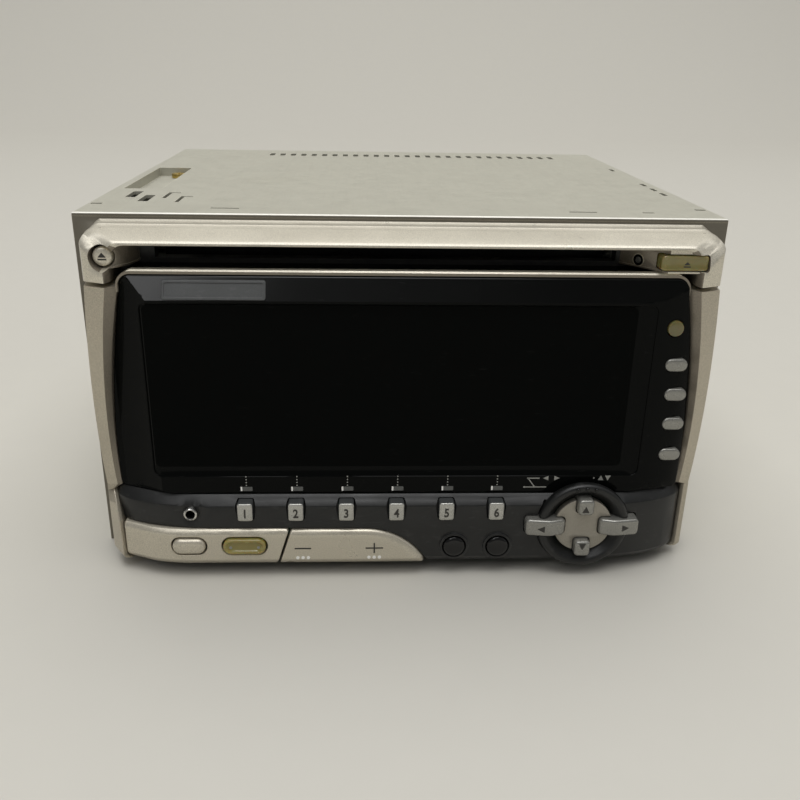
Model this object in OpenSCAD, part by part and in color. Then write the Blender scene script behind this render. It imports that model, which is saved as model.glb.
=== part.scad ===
// Double-height car stereo: a steel case with a disc slot at the top and a motor-driven
// front door below it, which tilts down to uncover a slot for a smaller disc cartridge.
// Lengths are in millimetres and angles in degrees. Seen from the front, +X is to the
// right, +Y goes to the back and +Z is up. Each module is drawn with y = 0 at the front
// plane of the case, and placed() moves the middle of the case's underside to the origin.

/* [Case] */
// Width of the steel case
case_w = 178; // [176:1:190]
// Height of the steel case
case_h = 100; // [100:1:110]
// Depth of the steel case
case_d = 160; // [158:1:190]
// Thickness of the sheet steel
sheet = 1; // [0.8:0.1:1.2]
// Radius of the threaded holes in the sides
side_hole_r = 2.1; // [1.6:0.1:2.6]
// Distance between the side holes from front to back
side_hole_span_y = 75; // [60:1:90]
// Distance between the side holes from top to bottom
side_hole_span_z = 40; // [36:1:44]
// Half the width of one vent slot in the cover
vent_r = 1.1; // [0.8:0.1:1.6]
// Length of one vent slot in the cover
vent_l = 8; // [4:0.5:10]
// Number of vent slots in the cover's row
vent_count = 28; // [10:1:30]
// Depth of the sunken pocket at the cover's left edge
pocket_depth = 3; // [2:0.5:5]
// Number of fins on the heat sink
fin_count = 11; // [4:1:12]
// How far the heat sink stands out at the back
fin_reach = 16; // [10:1:30]

/* [Front] */
// Width of the plastic front
nose_w = 170; // [168:1:172]
// Height of the front's lower edge above the case's underside
nose_low = 3; // [2.5:0.5:3.5]
// How far the front's upper edge lies under the top of the case
nose_drop = 2; // [1:0.5:3]
// Thickness of the fixed frame behind the door
frame_t = 4; // [3:0.5:4.5]
// How far the bezel's lip stands out
bezel_reach = 17.5; // [16:0.5:18]
// Thickness of the bezel's lip
lip_t = 1; // [0.6:0.1:1.4]
// Width of the disc slot
slot_w = 124.5; // [122:0.5:126]
// Height of the disc slot
slot_h = 5.2; // [4.6:0.1:5.4]
// Width of the cartridge slot behind the door
cart_slot_w = 74; // [70:1:78]
// Height of the cartridge slot behind the door
cart_slot_h = 7; // [6:0.5:8]

/* [Door] */
// How far the door's top edge lies under the front's upper edge
door_drop = 9.7; // [9.2:0.1:10.5]
// How far the shoulders of the door lie under its top edge
shoulder_drop = 4.5; // [4.1:0.1:5.3]
// Wall of the door's silver edge
edge_t = 1.4; // [1.2:0.1:1.6]
// Gap between the door and what is behind it
door_gap = 0.5; // [0.4:0.1:0.8]
// How far the display lens stands out
lens_reach = 18.5; // [17.8:0.1:19]
// How far the button strip stands out
strip_reach = 21; // [20.6:0.1:21.4]
// How far the lower panel stands out
panel_reach = 22; // [21.6:0.1:22.4]
// Thickness of the button strip and the lower panel
skin_t = 3; // [2.6:0.1:3.2]
// Radius of the hinge pins
pin_r = 1.5; // [1:0.1:2]
// Teeth on the door's gear
door_teeth = 22; // [22:1:22]
// Teeth on the gear that drives the door
drive_teeth = 14; // [13:1:15]
// Size of the door gears' teeth, as the pitch diameter over the tooth count
door_module = 1; // [0.95:0.05:1]

/* [Display] */
// Height of the lens's lower edge
lens_low = 24.7; // [24.6:0.1:25.4]
// Widest half width of the lens
lens_half = 79.2; // [78.6:0.1:79.6]
// Radius of the lens's bowed sides
lens_side_r = 220; // [200:5:300]
// Depth of the display window
window_depth = 1.2; // [0.6:0.1:1.4]
// Thickness of the display glass
glass_t = 2; // [1.4:0.1:2.2]

/* [Keys] */
// Clearance round each key
key_gap = 0.25; // [0.2:0.05:0.35]
// How far the keys on the door go in
key_travel = 0.6; // [0.4:0.1:0.7]
// Width of a number key
preset_w = 4.3; // [3.6:0.1:6]
// Height of a number key
preset_h = 5.1; // [4:0.1:5.2]
// Distance from one number key to the next
preset_pitch = 14.1; // [12:0.1:14.2]
// Radius of the two round keys
round_key_r = 3.1; // [2:0.1:3.6]
// Width of the oval keys beside the display
side_key_w = 6.7; // [5:0.1:6.8]
// Height of the oval keys beside the display
side_key_h = 3.7; // [3:0.1:4.4]
// Radius of the round key beside the display
program_r = 2.2; // [1.6:0.1:2.6]
// Radius of the round key in the bezel
open_r = 2.5; // [2:0.1:2.8]
// Width of the bar key in the bezel
eject_w = 14.4; // [12:0.1:14.6]
// Height of the bar key in the bezel
eject_h = 4; // [3:0.1:4]
// Outer radius of the ring round the direction keys
ring_r = 13.4; // [13.2:0.1:13.6]
// Radius of the disc key inside the ring
disc_key_r = 8.5; // [8.2:0.1:8.8]
// Width of the up and down keys
arrow_w = 4.8; // [4:0.1:5.6]
// Length of the left and right keys
arrow_l = 11.6; // [11:0.1:12]
// Height of the left and right keys
arrow_h = 5.4; // [4.6:0.1:6]
// Radius of the bore in the small jack
jack_bore_r = 1.35; // [1:0.05:1.5]

/* [Disc deck] */
// Radius of the rubber feed roller
roller_r = 3.2; // [2.8:0.1:3.4]
// Radius of the feed roller's shaft
roller_shaft_r = 1.5; // [1.2:0.1:1.8]
// Teeth on the feed roller's gear
roller_teeth = 14; // [13:1:15]
// Teeth on the loading gear
loading_teeth = 18; // [16:1:18]
// Size of the loading gears' teeth, as the pitch diameter over the tooth count
loading_module = 0.6; // [0.55:0.05:0.6]
// Radius of the disc turntable
table_r = 14; // [11:0.5:15]
// Radius of the clamp puck
puck_r = 11; // [8:0.5:13]
// How far the laser pickup travels
sled_travel = 34; // [25:1:34]
// Radius of the screws and rods that carry the pickups
rod_r = 1.5; // [1:0.1:1.6]

/* [Cartridge deck] */
// How far the cartridge holder sinks onto the turntable
holder_drop = 3; // [2:0.25:3]
// Radius of the cartridge turntable
cart_table_r = 10; // [8:0.5:10]
// How far the cartridge's laser pickup travels
cart_sled_travel = 18; // [12:1:20]

/* [Hidden] */
$fn = 96;

// Small distances that cuts run past a face, and running clearances
past = 1;
run_gap = 0.06;
turn_gap = 0.3;

// Colours
silver = [0.76, 0.73, 0.66];
steel = [0.70, 0.69, 0.64];
dark_grey = [0.16, 0.17, 0.17];
gloss_black = [0.04, 0.045, 0.04];
amber = [0.50, 0.46, 0.26];
board_green = [0.10, 0.30, 0.18];
brass = [0.74, 0.60, 0.32];
chrome = [0.80, 0.80, 0.80];
rubber = [0.08, 0.08, 0.08];
white_plastic = [0.86, 0.85, 0.80];

// The case
half_w = case_w / 2;
inner = half_w - sheet;
wall_top = case_h - sheet;
flange_lap = 5;
nose_top = case_h - nose_drop;
opening_half = nose_w / 2 - flange_lap;
opening_drop = 2.5;
opening_top = nose_top - opening_drop;
lip_h = 8;
lip_inset = 12;
side_hole_y = 45;
side_hole_low = 30;
collar_r = 4;
collar_t = 3;
post_r = 3;
vent_pitch = 4.38;
vent_first = -49.3;
vent_inset = 16;
vent_y = case_d - vent_inset;
pocket_rim = 3;
pocket_w = 11.7;
pocket_x = [-half_w + pocket_rim, -half_w + pocket_rim + pocket_w];
pocket_y = [43, 95];
pocket_screw_in = [4, 4.2];
pocket_screw = [pocket_x[1] - pocket_screw_in[0], pocket_y[1] - pocket_screw_in[1]];
cover_slot = [3, 11.5];
cover_slot_place = [[-81.5, 26], [-76.3, 19]];
cover_hook = [3.6, 11];
cover_hook_w = 1.2;
cover_hook_place = [[-70.5, 25], [-65.5, 18]];
lance_y = [8, 9.4];
lance_x = [[-53.8, -45.8], [46.6, 54.6], [67.6, 71]];
edge_slot = [1.5, 6];
edge_slot_in = 4.5;
edge_slot_y = [41, 51, 62, 102];
corner_slot = [3.2, 2];
corner_slot_in = 1;
corner_slot_y = 13.5;
rear_vent_count = 12;
rear_vent_drop = 14;
screw_head_r = 2.6;
screw_head_t = 1.5;
screw_cross = [0.7, 3.4];
rear_screw_inset = 7;

// The front
nose_half = nose_w / 2;
nose_corner = 3;
foot_gap = 0.6;
foot_gap_top = 18;
frame_half = nose_half - 1;
frame_low = 20;
frame_drop = 2.2;
frame_top = nose_top - frame_drop;
lip_drop = 4;
lip_z = nose_top - lip_drop;
shelf_reach = 6;
shelf_drop = 0.4;
side_reach = 9;
bezel_ridge = 78.5;
bezel_corner = 8;
recess_corner = 4;
leg_gap = 1.2;
door_top = nose_top - door_drop;
shoulder = door_top - shoulder_drop;
leg_low = shoulder + leg_gap;
top_gap = 0.6;
slot_x = -4.75;
slot_low = door_top + top_gap;
slot_mid = slot_low + slot_h / 2;
slot_left = slot_x - slot_w / 2;
slot_right = slot_x + slot_w / 2;
recess_reach = 16;
cart_mid = 60;

// The door
back_y = -(frame_t + door_gap);
lens_y = -lens_reach;
strip_y = -strip_reach;
panel_y = -panel_reach;
lens_side_z = 35;
lens_top = door_top - edge_t;
lens_corner = 3;
lens_gap = 0.25;
lens_back_y = -13;
lens_edge_y = -15.5;
rise_half = lens_edge(shoulder) + edge_t;
leg_in = rise_half + leg_gap;
trim_back_y = -9;
ridge_y = -17;
ridge_half = 80.7;
ridge_side_r = 238;
trim_edge_y = -15;
wall_t = 2.5;
bow_flat = 60;
bow_run = 22.5;
bow_turn = 80;
bow_steps = 16;
strip_bow = 11.5;
lens_bow = 8;
strip_end = bow_flat + bow_run * sin(bow_turn);
strip_top = 24.5;
strip_bevel = 1;
strip_inset = 0.4;
hinge_y = -11;
hinge_z = 15;
lug_x = [70.5, 73.5];
lug_r = 3.5;
lug_low = 2;
lug_high = 10;
ear_x = [74, 76.5];
ear_r = 3;
ear_drop = 1;
arm_top = 36;
back_t = 2;
back_low = 22;
back_step = 30;
back_narrow = 69.5;
side_step = 13;

// The gear that moves the door
drive_turn = 20;
mesh_gap = 0.1;
drive_span = (door_teeth + drive_teeth) / 2 * door_module + mesh_gap;
drive_y = hinge_y + drive_span * cos(drive_turn);
drive_z = hinge_z + drive_span * sin(drive_turn);
gear_x = [-69, -65];
drive_motor_x = [-63, -43];
drive_motor_r = 5.5;
motor_shaft_r = 1;
sector_from = -78;
sector_to = 62;
sector_cut = 40;
sector_web = 4;

// The display and the keys' board
window_x = [-69, 65];
window_low = 33;
window_margin = 6.9;
window_z = [window_low, lens_top - window_margin];
window_bevel = 4;
module_margin = 2;
board_y = [-9, -7.4];
board_foot = 2;
switch_h = 1.4;
switch_w = 5;
switch_front = board_y[0] - switch_h;
stem_r = 1.1;
stem_gap = 0.1;
stem_end = switch_front - key_travel - stem_gap;
flange_t = 0.8;
flange_edge = 0.6;

// The keys' places as [x, z]
preset_first = -44.3;
preset_z = 21.1;
preset_y = -22.6;
round_key_z = 9.6;
round_key_x = [14.7, 27.2];
round_key_y = -22.4;
collar_edge = 0.9;
collar_rise = 0.6;
collar_sink = 0.2;
side_key_inset = 3.6;
side_key_y = -18;
side_key_low = 36.5;
side_key_drop = 23.4;
side_key_top = lens_top - side_key_drop;
side_key_share = [1, 0.678, 0.352, 0];
side_key_z = [for (share = side_key_share) side_key_low + share * (side_key_top - side_key_low)];
program_drop = 13;
program_z = lens_top - program_drop;
panel_key_z = 10.8;
panel_key_h = 5.6;
panel_key_y = -23;
sound_x = -60.5;
sound_w = 9.2;
sound_stem = 1;
source_x = -44.9;
source_w = 12.4;
jack_x = -59.6;
jack_z = 20.2;
jack_ring_r = 1.95;
jack_dish_r = 4.4;
jack_dish_depth = 1.2;
jack_reach = 21.4;
jack_y = [-jack_reach, board_y[0]];
open_drop = 6.6;
open_in = 1.48;
open_place = [-leg_in - open_in, nose_top - open_drop];
open_y = -15.8;
open_dish_r = 3.3;
open_dish_y = -14.4;
eject_drop = 6.9;
eject_place = [72.1, nose_top - eject_drop];
eject_y = -16.4;
bezel_key_back = -6;

// The lower panel and the volume rocker
panel_top = 15.5;
rocker_top = 15.2;
rocker_r = 20;
rocker_turn_x = -11;
rocker_left = -31.7;
seam = 0.6;
seam_slant = 3.8;
rocker_mid = -14;
fulcrum_w = 2;
fulcrum_y = -13;
bottom_z = nose_low + strip_inset;
strip_corner = 1.6;
foot_bevel = [2.4, 2.6];

// The direction keys
dpad_x = 51.3;
dpad_z = 16.6;
ring_y = -23;
ring_round = 1.4;
ring_seat = 1.2;
ring_back = strip_y + ring_seat;
disc_key_y = -22;
arrow_y = -24.4;
arrow_back = lens_y - key_travel - turn_gap;
left_x = 40.3;
right_x = 61.4;
vertical_h = 5.2;
vertical_rise = 6.6;

// The disc deck
deck_drop = 10.3;
deck_t = 1.2;
deck_top = slot_mid - deck_drop;
deck_z = [deck_top - deck_t, deck_top];
deck_inset = 1.5;
deck_half = inner - collar_t - deck_inset;
cd_y = 75;
disc_half_t = 0.6;
roller_y = 12;
roller_gap = 0.2;
roller_z = slot_mid - disc_half_t - roller_gap - roller_r;
bracket_out = 4;
bracket_t = 1.2;
bracket_rise = 3;
bracket_right = slot_right + bracket_out;
bracket_left = slot_left - bracket_out;
loading_gap = 3;
loading_w = 3;
loading_x = [bracket_right + loading_gap, bracket_right + loading_gap + loading_w];
loading_y = roller_y + (roller_teeth + loading_teeth) / 2 * loading_module + mesh_gap;
loading_motor_r = 5.8;
loading_motor_l = 18;
stator_r = 10;
stator_h = 3;
table_gap = 0.3;
table_t = 2.2;
hub_r = 7.4;
spindle_r = 1;
arm_rise = 3.2;
arm_t = 1.2;
arm_z = [slot_mid + arm_rise, slot_mid + arm_rise + arm_t];
arm_mid = (arm_z[0] + arm_z[1]) / 2;
arm_y = 62;
arm_pivot_y = 128;
arm_half = 20;
arm_pin_r = 1.2;
arm_barrel_r = 2.4;
post_t = 1.5;
post_rise = 1.5;
post_half = 4;
post_gap = 1.2;
post_x = arm_half + post_gap;
puck_rise = 0.9;
puck_t = 2;
puck_z = [slot_mid + puck_rise, slot_mid + puck_rise + puck_t];
puck_neck_r = 2.5;
puck_cap_r = 4;
puck_cap_t = 1;
pickup_half = 17;
pickup_l = 21;
pickup_y = 91;
sled_gap = 0.5;
sled_t = 5.7;
pickup_z = [deck_top + sled_gap, deck_top + sled_gap + sled_t];
sled_stop = 1.8;
deck_y = [4, pickup_y + pickup_l + sled_travel + sled_stop + deck_t];
rod_x_off = 13;
rod_z_up = 3.3;
screw_play = 0.2;
tab_w = 7;
tab_h = 6.4;
tab_front = 86;
sled_motor_r = 5.5;
sled_motor_l = 9;
damper_r = 4;
damper_h = 6;
damper_y = [20, 132];
damper_inset = 7;
shelf_w = 13;
shelf_half = 6;
shelf_z = deck_z[0] - damper_h;
lens_bump_r = 3.2;
lens_bump_h = 0.8;

// The cartridge deck
cart_deck_low = 44;
cart_deck_top = cart_deck_low + deck_t;
cart_deck_z = [cart_deck_low, cart_deck_top];
cart_flange_h = 8;
cart_y = 40;
cart_stator_r = 9;
cart_table_t = 1.9;
cart_table_low = cart_deck_top + stator_h + table_gap;
cart_table_z = [cart_table_low, cart_table_low + cart_table_t];
cart_hub_r = 5.5;
cart_hub_h = 1.2;
holder_wall = 1;
holder_play = 0.6;
holder_half = cart_slot_w / 2 + holder_wall + holder_play;
holder_z = [cart_mid - cart_slot_h / 2 - holder_wall, cart_mid + cart_slot_h / 2 + holder_wall];
holder_y = [6, 82];
holder_ledge = 6;
holder_pin_r = 1.4;
holder_pin_y = [20, 68];
guide_gap = 0.5;
guide_t = 1.2;
guide_w = 10;
guide_rise = 3;
guide_x = holder_half + guide_gap;
pin_slack = 0.2;
cart_pickup_half = 15;
cart_pickup_l = 18;
cart_pickup_y = 54;
cart_sled_gap = 0.4;
cart_sled_t = 5.2;
cart_pickup_z = [cart_deck_top + cart_sled_gap, cart_deck_top + cart_sled_gap + cart_sled_t];
cart_sled_stop = 20.8;
cart_deck_y = [5, cart_pickup_y + cart_pickup_l + cart_sled_travel + cart_sled_stop + deck_t];
cart_rod_x = 11;
cart_rod_up = 2.9;
cart_tab_front = 51;

// The main board and the back
main_low = 10;
main_t = 1.6;
main_z = [main_low, main_low + main_t];
main_half = 78;
main_rear_gap = 4;
main_y = [18, case_d - sheet - main_rear_gap];
main_post_inset = 6;
capacitor_r = 7;
capacitor_h = 24;
capacitor_x = [-60, -42, -24];
capacitor_y = 110;
chip_w = 22;
chip_t = 3;
chip_place = [[4, 74], [44, 80]];
amplifier_x = [30, 76];
amplifier_inset = 4;
amplifier_t = 10;
amplifier_h = 22;
tuner_x = [-66, -30];
tuner_y = [50, 66];
tuner_h = 14;
sink_x = [26, 84];
sink_drop = 12;
sink_z = [14, case_h - sink_drop];
sink_base = 4;
fin_t = 1.6;
power_x = -40;
power_z = 26;
power_w = 34;
power_h = 16;
socket_reach = 6;
socket_depth = 12;
socket_wall = 2;
antenna_x = -72;
antenna_z = 30;
antenna_r = 6;
antenna_bore_r = 3;
line_x = -64;
line_z = 62;
line_pitch = 14;
line_r = 4.4;
line_bore_r = 1.7;
bus_x = -10;
bus_z = 62;
bus_r = 7;

// Half width of the lens at height z, and of the ridge along the door's trim
function lens_edge(z) = lens_half - lens_side_r + sqrt(pow(lens_side_r, 2) - pow(z - lens_side_z, 2));
function ridge_edge(z) = ridge_half - ridge_side_r + sqrt(pow(ridge_side_r, 2) - pow(z - lens_side_z, 2));

// Front of a bowed skin seen from above: flat in the middle, elliptical at both ends
function bow_point(y, reach, side, turn) =
    [side * (bow_flat + bow_run * sin(turn)), y + reach * (1 - cos(turn))];
function bow_line(y, reach) = concat(
    [for (i = [bow_steps:-1:0]) bow_point(y, reach, -1, bow_turn * i / bow_steps)],
    [for (i = [0:bow_steps]) bow_point(y, reach, 1, bow_turn * i / bow_steps)]);
function backwards(list) = [for (i = [len(list) - 1:-1:0]) list[i]];

// Points of a spur gear with involute flanks, one tooth centred on angle 0
function involute(base, r) = r <= base ? 0 : sqrt(pow(r / base, 2) - 1) * 180 / PI - acos(base / r);
function tooth_half(teeth, size, r) =
    let (pitch = teeth * size / 2, base = pitch * cos(20))
    90 / teeth - 3.5 / teeth + involute(base, pitch) - involute(base, r);
function gear_points(teeth, size) =
    let (pitch = teeth * size / 2, root = pitch - 1.2 * size, tip = pitch + 0.8 * size,
         levels = [for (i = [0:6]) root + (tip - root) * i / 6])
    [for (t = [0:teeth - 1], side = [-1, 1], i = [0:6])
        let (r = levels[side < 0 ? i : 6 - i], a = t * 360 / teeth + side * tooth_half(teeth, size, r))
        [r * cos(a), r * sin(a)]];

// Solids between two limits on each axis
module block(x, y, z) {
    translate([x[0], y[0], z[0]])
        cube([x[1] - x[0], y[1] - y[0], z[1] - z[0]]);
}

// A drawing of x and z, pushed through from front to back
module slab(y) {
    translate([0, y[1], 0])
        rotate([90, 0, 0])
            linear_extrude(y[1] - y[0])
                children();
}

// A drawing of y and z, pushed through from left to right
module beam(x) {
    translate([x[0], 0, 0])
        rotate([90, 0, 90])
            linear_extrude(x[1] - x[0])
                children();
}

// A drawing of x and y, pushed up
module tower(z) {
    translate([0, 0, z[0]])
        linear_extrude(z[1] - z[0])
            children();
}

module rod_x(r, x, y, z) {
    translate([x[0], y, z])
        rotate([0, 90, 0])
            cylinder(r = r, h = x[1] - x[0]);
}

module rod_y(r, x, y, z) {
    translate([x, y[0], z])
        rotate([-90, 0, 0])
            cylinder(r = r, h = y[1] - y[0]);
}

module rod_z(r, x, y, z) {
    translate([x, y, z[0]])
        cylinder(r = r, h = z[1] - z[0]);
}

// Drawings
module pill(w, h) {
    d = min(w, h);
    square([max(w - d, 0.001), h], center = true);
    for (s = [-1, 1])
        translate([s * (w - d) / 2, 0])
            circle(d = d);
}

module rounded_top(half, low, high, r) {
    translate([-half, low])
        square([2 * half, high - low - r]);
    translate([-half + r, low])
        square([2 * (half - r), high - low]);
    for (s = [-1, 1])
        translate([s * (half - r), high - r])
            circle(r);
}

module rounded_foot(half, low, high, r) {
    translate([0, low + high])
        mirror([0, 1])
            rounded_top(half, low, high, r);
}

module mirrored_x() {
    children();
    mirror([1, 0, 0])
        children();
}

// Moves a drawing made about the case's front plane into the part's own frame
module placed() {
    translate([0, -case_d / 2, 0])
        children();
}

// Case

module chassis_pan() color(steel) difference() {
    union() {
        block([-half_w, half_w], [0, case_d], [0, sheet]);
        mirrored_x()
            block([inner, half_w], [0, case_d], [0, wall_top]);
        difference() {
            block([-half_w, half_w], [0, sheet], [0, wall_top]);
            block([-opening_half, opening_half], [-past, sheet + past], [sheet, opening_top]);
            // Room for the door's lower corners as it tilts
            block([-nose_half - foot_gap, nose_half + foot_gap], [-past, sheet + past], [sheet, foot_gap_top]);
        }
        mirrored_x() {
            for (y = damper_y)
                block([inner - shelf_w, inner], [y - shelf_half, y + shelf_half], [shelf_z - sheet, shelf_z]);
            for (y = [0, side_hole_span_y], z = [0, side_hole_span_z])
                rod_x(collar_r, [inner - collar_t, half_w], side_hole_y + y, side_hole_low + z);
            for (y = [main_y[0] + main_post_inset, main_y[1] - main_post_inset])
                rod_z(post_r, main_half - main_post_inset, y, [0, main_z[0]]);
        }
    }
    mirrored_x()
        for (y = [0, side_hole_span_y], z = [0, side_hole_span_z])
            rod_x(side_hole_r, [inner - collar_t - past, half_w + past], side_hole_y + y, side_hole_low + z);
}

module cover_cut(x, y) {
    block(x, y, [wall_top - past, case_h + past]);
}

module top_cover() color(steel) difference() {
    union() {
        block([-half_w, half_w], [0, case_d], [wall_top, case_h]);
        mirrored_x()
            block([inner - sheet, inner], [lip_inset, case_d - lip_inset], [wall_top - lip_h, wall_top]);
        block([pocket_x[0] - sheet, pocket_x[1] + sheet], [pocket_y[0] - sheet, pocket_y[1] + sheet],
            [wall_top - pocket_depth, case_h]);
    }
    block(pocket_x, pocket_y, [case_h - pocket_depth, case_h + past]);
    tower([wall_top - past, case_h + past])
        for (i = [0:vent_count - 1])
            translate([vent_first + i * vent_pitch, vent_y])
                rotate(90)
                    pill(vent_l, 2 * vent_r);
    // Slots beside the pocket
    for (at = cover_slot_place)
        cover_cut([at[0], at[0] + cover_slot[0]], [at[1], at[1] + cover_slot[1]]);
    for (at = cover_hook_place) {
        end = at[1] + cover_hook[1];
        cover_cut([at[0], at[0] + cover_hook_w], [at[1], end]);
        cover_cut([at[0], at[0] + cover_hook[0]], [end - cover_hook_w, end]);
    }
    // Lances along the front edge and small slots along the right edge
    for (x = lance_x)
        cover_cut(x, lance_y);
    for (y = edge_slot_y)
        cover_cut([half_w - edge_slot_in, half_w - edge_slot_in + edge_slot[0]], [y, y + edge_slot[1]]);
    // Relief slots in the front corners
    mirrored_x()
        cover_cut([half_w - corner_slot_in - corner_slot[0], half_w - corner_slot_in],
            [corner_slot_y, corner_slot_y + corner_slot[1]]);
}

module rear_panel() color(steel) difference() {
    block([-inner, inner], [case_d - sheet, case_d], [sheet, wall_top]);
    through = [case_d - sheet - past, case_d + past];
    block([power_x - power_w / 2, power_x + power_w / 2], through,
        [power_z - power_h / 2, power_z + power_h / 2]);
    rod_y(antenna_r, antenna_x, through, antenna_z);
    rod_y(bus_r, bus_x, through, bus_z);
    for (i = [0:2])
        rod_y(line_r, line_x + i * line_pitch, through, line_z);
    for (i = [0:rear_vent_count - 1])
        rod_y(vent_r, line_x + i * vent_pitch, through, case_h - rear_vent_drop);
}

module heat_sink() color(dark_grey) {
    block(sink_x, [case_d, case_d + sink_base], sink_z);
    step = (sink_x[1] - sink_x[0] - fin_t) / (fin_count - 1);
    for (i = [0:fin_count - 1])
        block([sink_x[0] + i * step, sink_x[0] + i * step + fin_t], [case_d, case_d + fin_reach], sink_z);
}

module round_socket(r, bore, x, z) difference() {
    rod_y(r, x, [case_d - socket_depth, case_d + socket_reach], z);
    rod_y(bore, x, [case_d - socket_depth + socket_wall, case_d + socket_reach + past], z);
}

module rear_sockets() color(dark_grey) {
    difference() {
        block([power_x - power_w / 2, power_x + power_w / 2],
            [case_d - socket_depth, case_d + socket_reach], [power_z - power_h / 2, power_z + power_h / 2]);
        block([power_x - power_w / 2 + socket_wall, power_x + power_w / 2 - socket_wall],
            [case_d - socket_depth + socket_wall, case_d + socket_reach + past],
            [power_z - power_h / 2 + socket_wall, power_z + power_h / 2 - socket_wall]);
    }
    round_socket(antenna_r, antenna_bore_r, antenna_x, antenna_z);
    round_socket(bus_r, bus_r - socket_wall, bus_x, bus_z);
    for (i = [0:2])
        round_socket(line_r, line_bore_r, line_x + i * line_pitch, line_z);
}

// A screw head with its foot at the origin, facing +Z
module screw_head() difference() {
    cylinder(r = screw_head_r, h = screw_head_t);
    for (turn = [0, 90])
        rotate(turn)
            translate([-screw_cross[1] / 2, -screw_cross[0] / 2, screw_head_t / 2])
                cube([screw_cross[1], screw_cross[0], screw_head_t]);
}

module case_screws() color(brass) {
    translate([pocket_screw[0], pocket_screw[1], case_h - pocket_depth])
        screw_head();
    for (x = [-1, 1], z = [rear_screw_inset, case_h - rear_screw_inset])
        translate([x * (inner - rear_screw_inset), case_d, z])
            rotate([-90, 0, 0])
                screw_head();
}

// Front frame, bezel and hinge

module front_frame() color(dark_grey) difference() {
    union() {
        block([-frame_half, frame_half], [-frame_t, 0], [frame_low, frame_top]);
        mirrored_x()
            beam(lug_x) {
                translate([hinge_y, hinge_z])
                    circle(lug_r);
                polygon([
                    [hinge_y + lug_r * cos(45), hinge_z - lug_r * sin(45)],
                    [0, frame_low + lug_low],
                    [0, frame_low + lug_high],
                    [-frame_t, frame_low + lug_high],
                    [hinge_y - lug_r * cos(45), hinge_z + lug_r * sin(45)],
                ]);
            }
    }
    mirrored_x()
        rod_x(pin_r, [lug_x[0] - past, lug_x[1] + past], hinge_y, hinge_z);
    block([slot_left, slot_right], [-frame_t - past, past], [slot_low, slot_low + slot_h]);
    block([-cart_slot_w / 2, cart_slot_w / 2], [-frame_t - past, past],
        [cart_mid - cart_slot_h / 2, cart_mid + cart_slot_h / 2]);
    block([gear_x[0] - turn_gap, gear_x[1] + turn_gap], [-frame_t - past, past],
        [frame_low - past, drive_z + drive_teeth * door_module / 2 + door_module + past]);
}

module hinge_pins() color(chrome)
    mirrored_x()
        rod_x(pin_r, [lug_x[0], ear_x[1]], hinge_y, hinge_z);

module bezel_arch() difference() {
    rounded_top(nose_half, leg_low, nose_top, bezel_corner);
    translate([0, -past])
        rounded_top(leg_in, leg_low, lip_z + past, recess_corner);
}

module bezel_key_cuts() {
    rod_y(open_r + key_gap, open_place[0], [-bezel_reach - past, past], open_place[1]);
    rod_y(open_dish_r, open_place[0], [-bezel_reach - past, open_dish_y], open_place[1]);
    block([eject_place[0] - eject_w / 2 - key_gap, eject_place[0] + eject_w / 2 + key_gap],
        [-bezel_reach - past, past],
        [eject_place[1] - eject_h / 2 - key_gap, eject_place[1] + eject_h / 2 + key_gap]);
}

module top_bezel() color(silver) difference() {
    union() {
        intersection() {
            slab([-bezel_reach, 0])
                bezel_arch();
            beam([-nose_half, nose_half])
                polygon([
                    [0, leg_low],
                    [0, nose_top],
                    [-shelf_reach, nose_top - shelf_drop],
                    [-bezel_reach, lip_z + lip_t],
                    [-bezel_reach, leg_low],
                ]);
            tower([leg_low, nose_top])
                polygon([
                    [-nose_half, 0],
                    [-nose_half, -side_reach],
                    [-bezel_ridge, -bezel_reach],
                    [bezel_ridge, -bezel_reach],
                    [nose_half, -side_reach],
                    [nose_half, 0],
                ]);
        }
        // Slanted cheeks that guide a disc into the slot
        tower([slot_low, lip_z + lip_t / 2])
            for (side = [[-leg_in - past, slot_left], [leg_in + past, slot_right]])
                polygon([
                    [side[0], -recess_reach],
                    [side[1], -frame_t],
                    [side[0], -frame_t],
                ]);
    }
    block([-frame_half, frame_half], [-frame_t, past], [leg_low - past, frame_top]);
    bezel_key_cuts();
}

module open_button() color(silver)
    rod_y(open_r, open_place[0], [open_y, bezel_key_back], open_place[1]);

module cd_eject_button() color(amber)
    block([eject_place[0] - eject_w / 2, eject_place[0] + eject_w / 2], [eject_y, bezel_key_back],
        [eject_place[1] - eject_h / 2, eject_place[1] + eject_h / 2]);

// Inside the case

module main_board() color(board_green) {
    block([-main_half, main_half], main_y, main_z);
    for (x = capacitor_x)
        rod_z(capacitor_r, x, capacitor_y, [main_z[1], main_z[1] + capacitor_h]);
    for (at = chip_place)
        block([at[0] - chip_w / 2, at[0] + chip_w / 2], [at[1] - chip_w / 2, at[1] + chip_w / 2],
            [main_z[1], main_z[1] + chip_t]);
    block(amplifier_x, [main_y[1] - amplifier_inset - amplifier_t, main_y[1] - amplifier_inset],
        [main_z[1], main_z[1] + amplifier_h]);
    block(tuner_x, tuner_y, [main_z[1], main_z[1] + tuner_h]);
}

module motor_x(r, x, shaft, y, z) {
    rod_x(r, x, y, z);
    rod_x(motor_shaft_r, [min(x[0], shaft), max(x[1], shaft)], y, z);
}

module stator(r, x, y, z) difference() {
    rod_z(r, x, y, [z, z + stator_h]);
    rod_z(spindle_r + run_gap, x, y, [z + sheet / 2, z + stator_h + past]);
}

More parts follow.
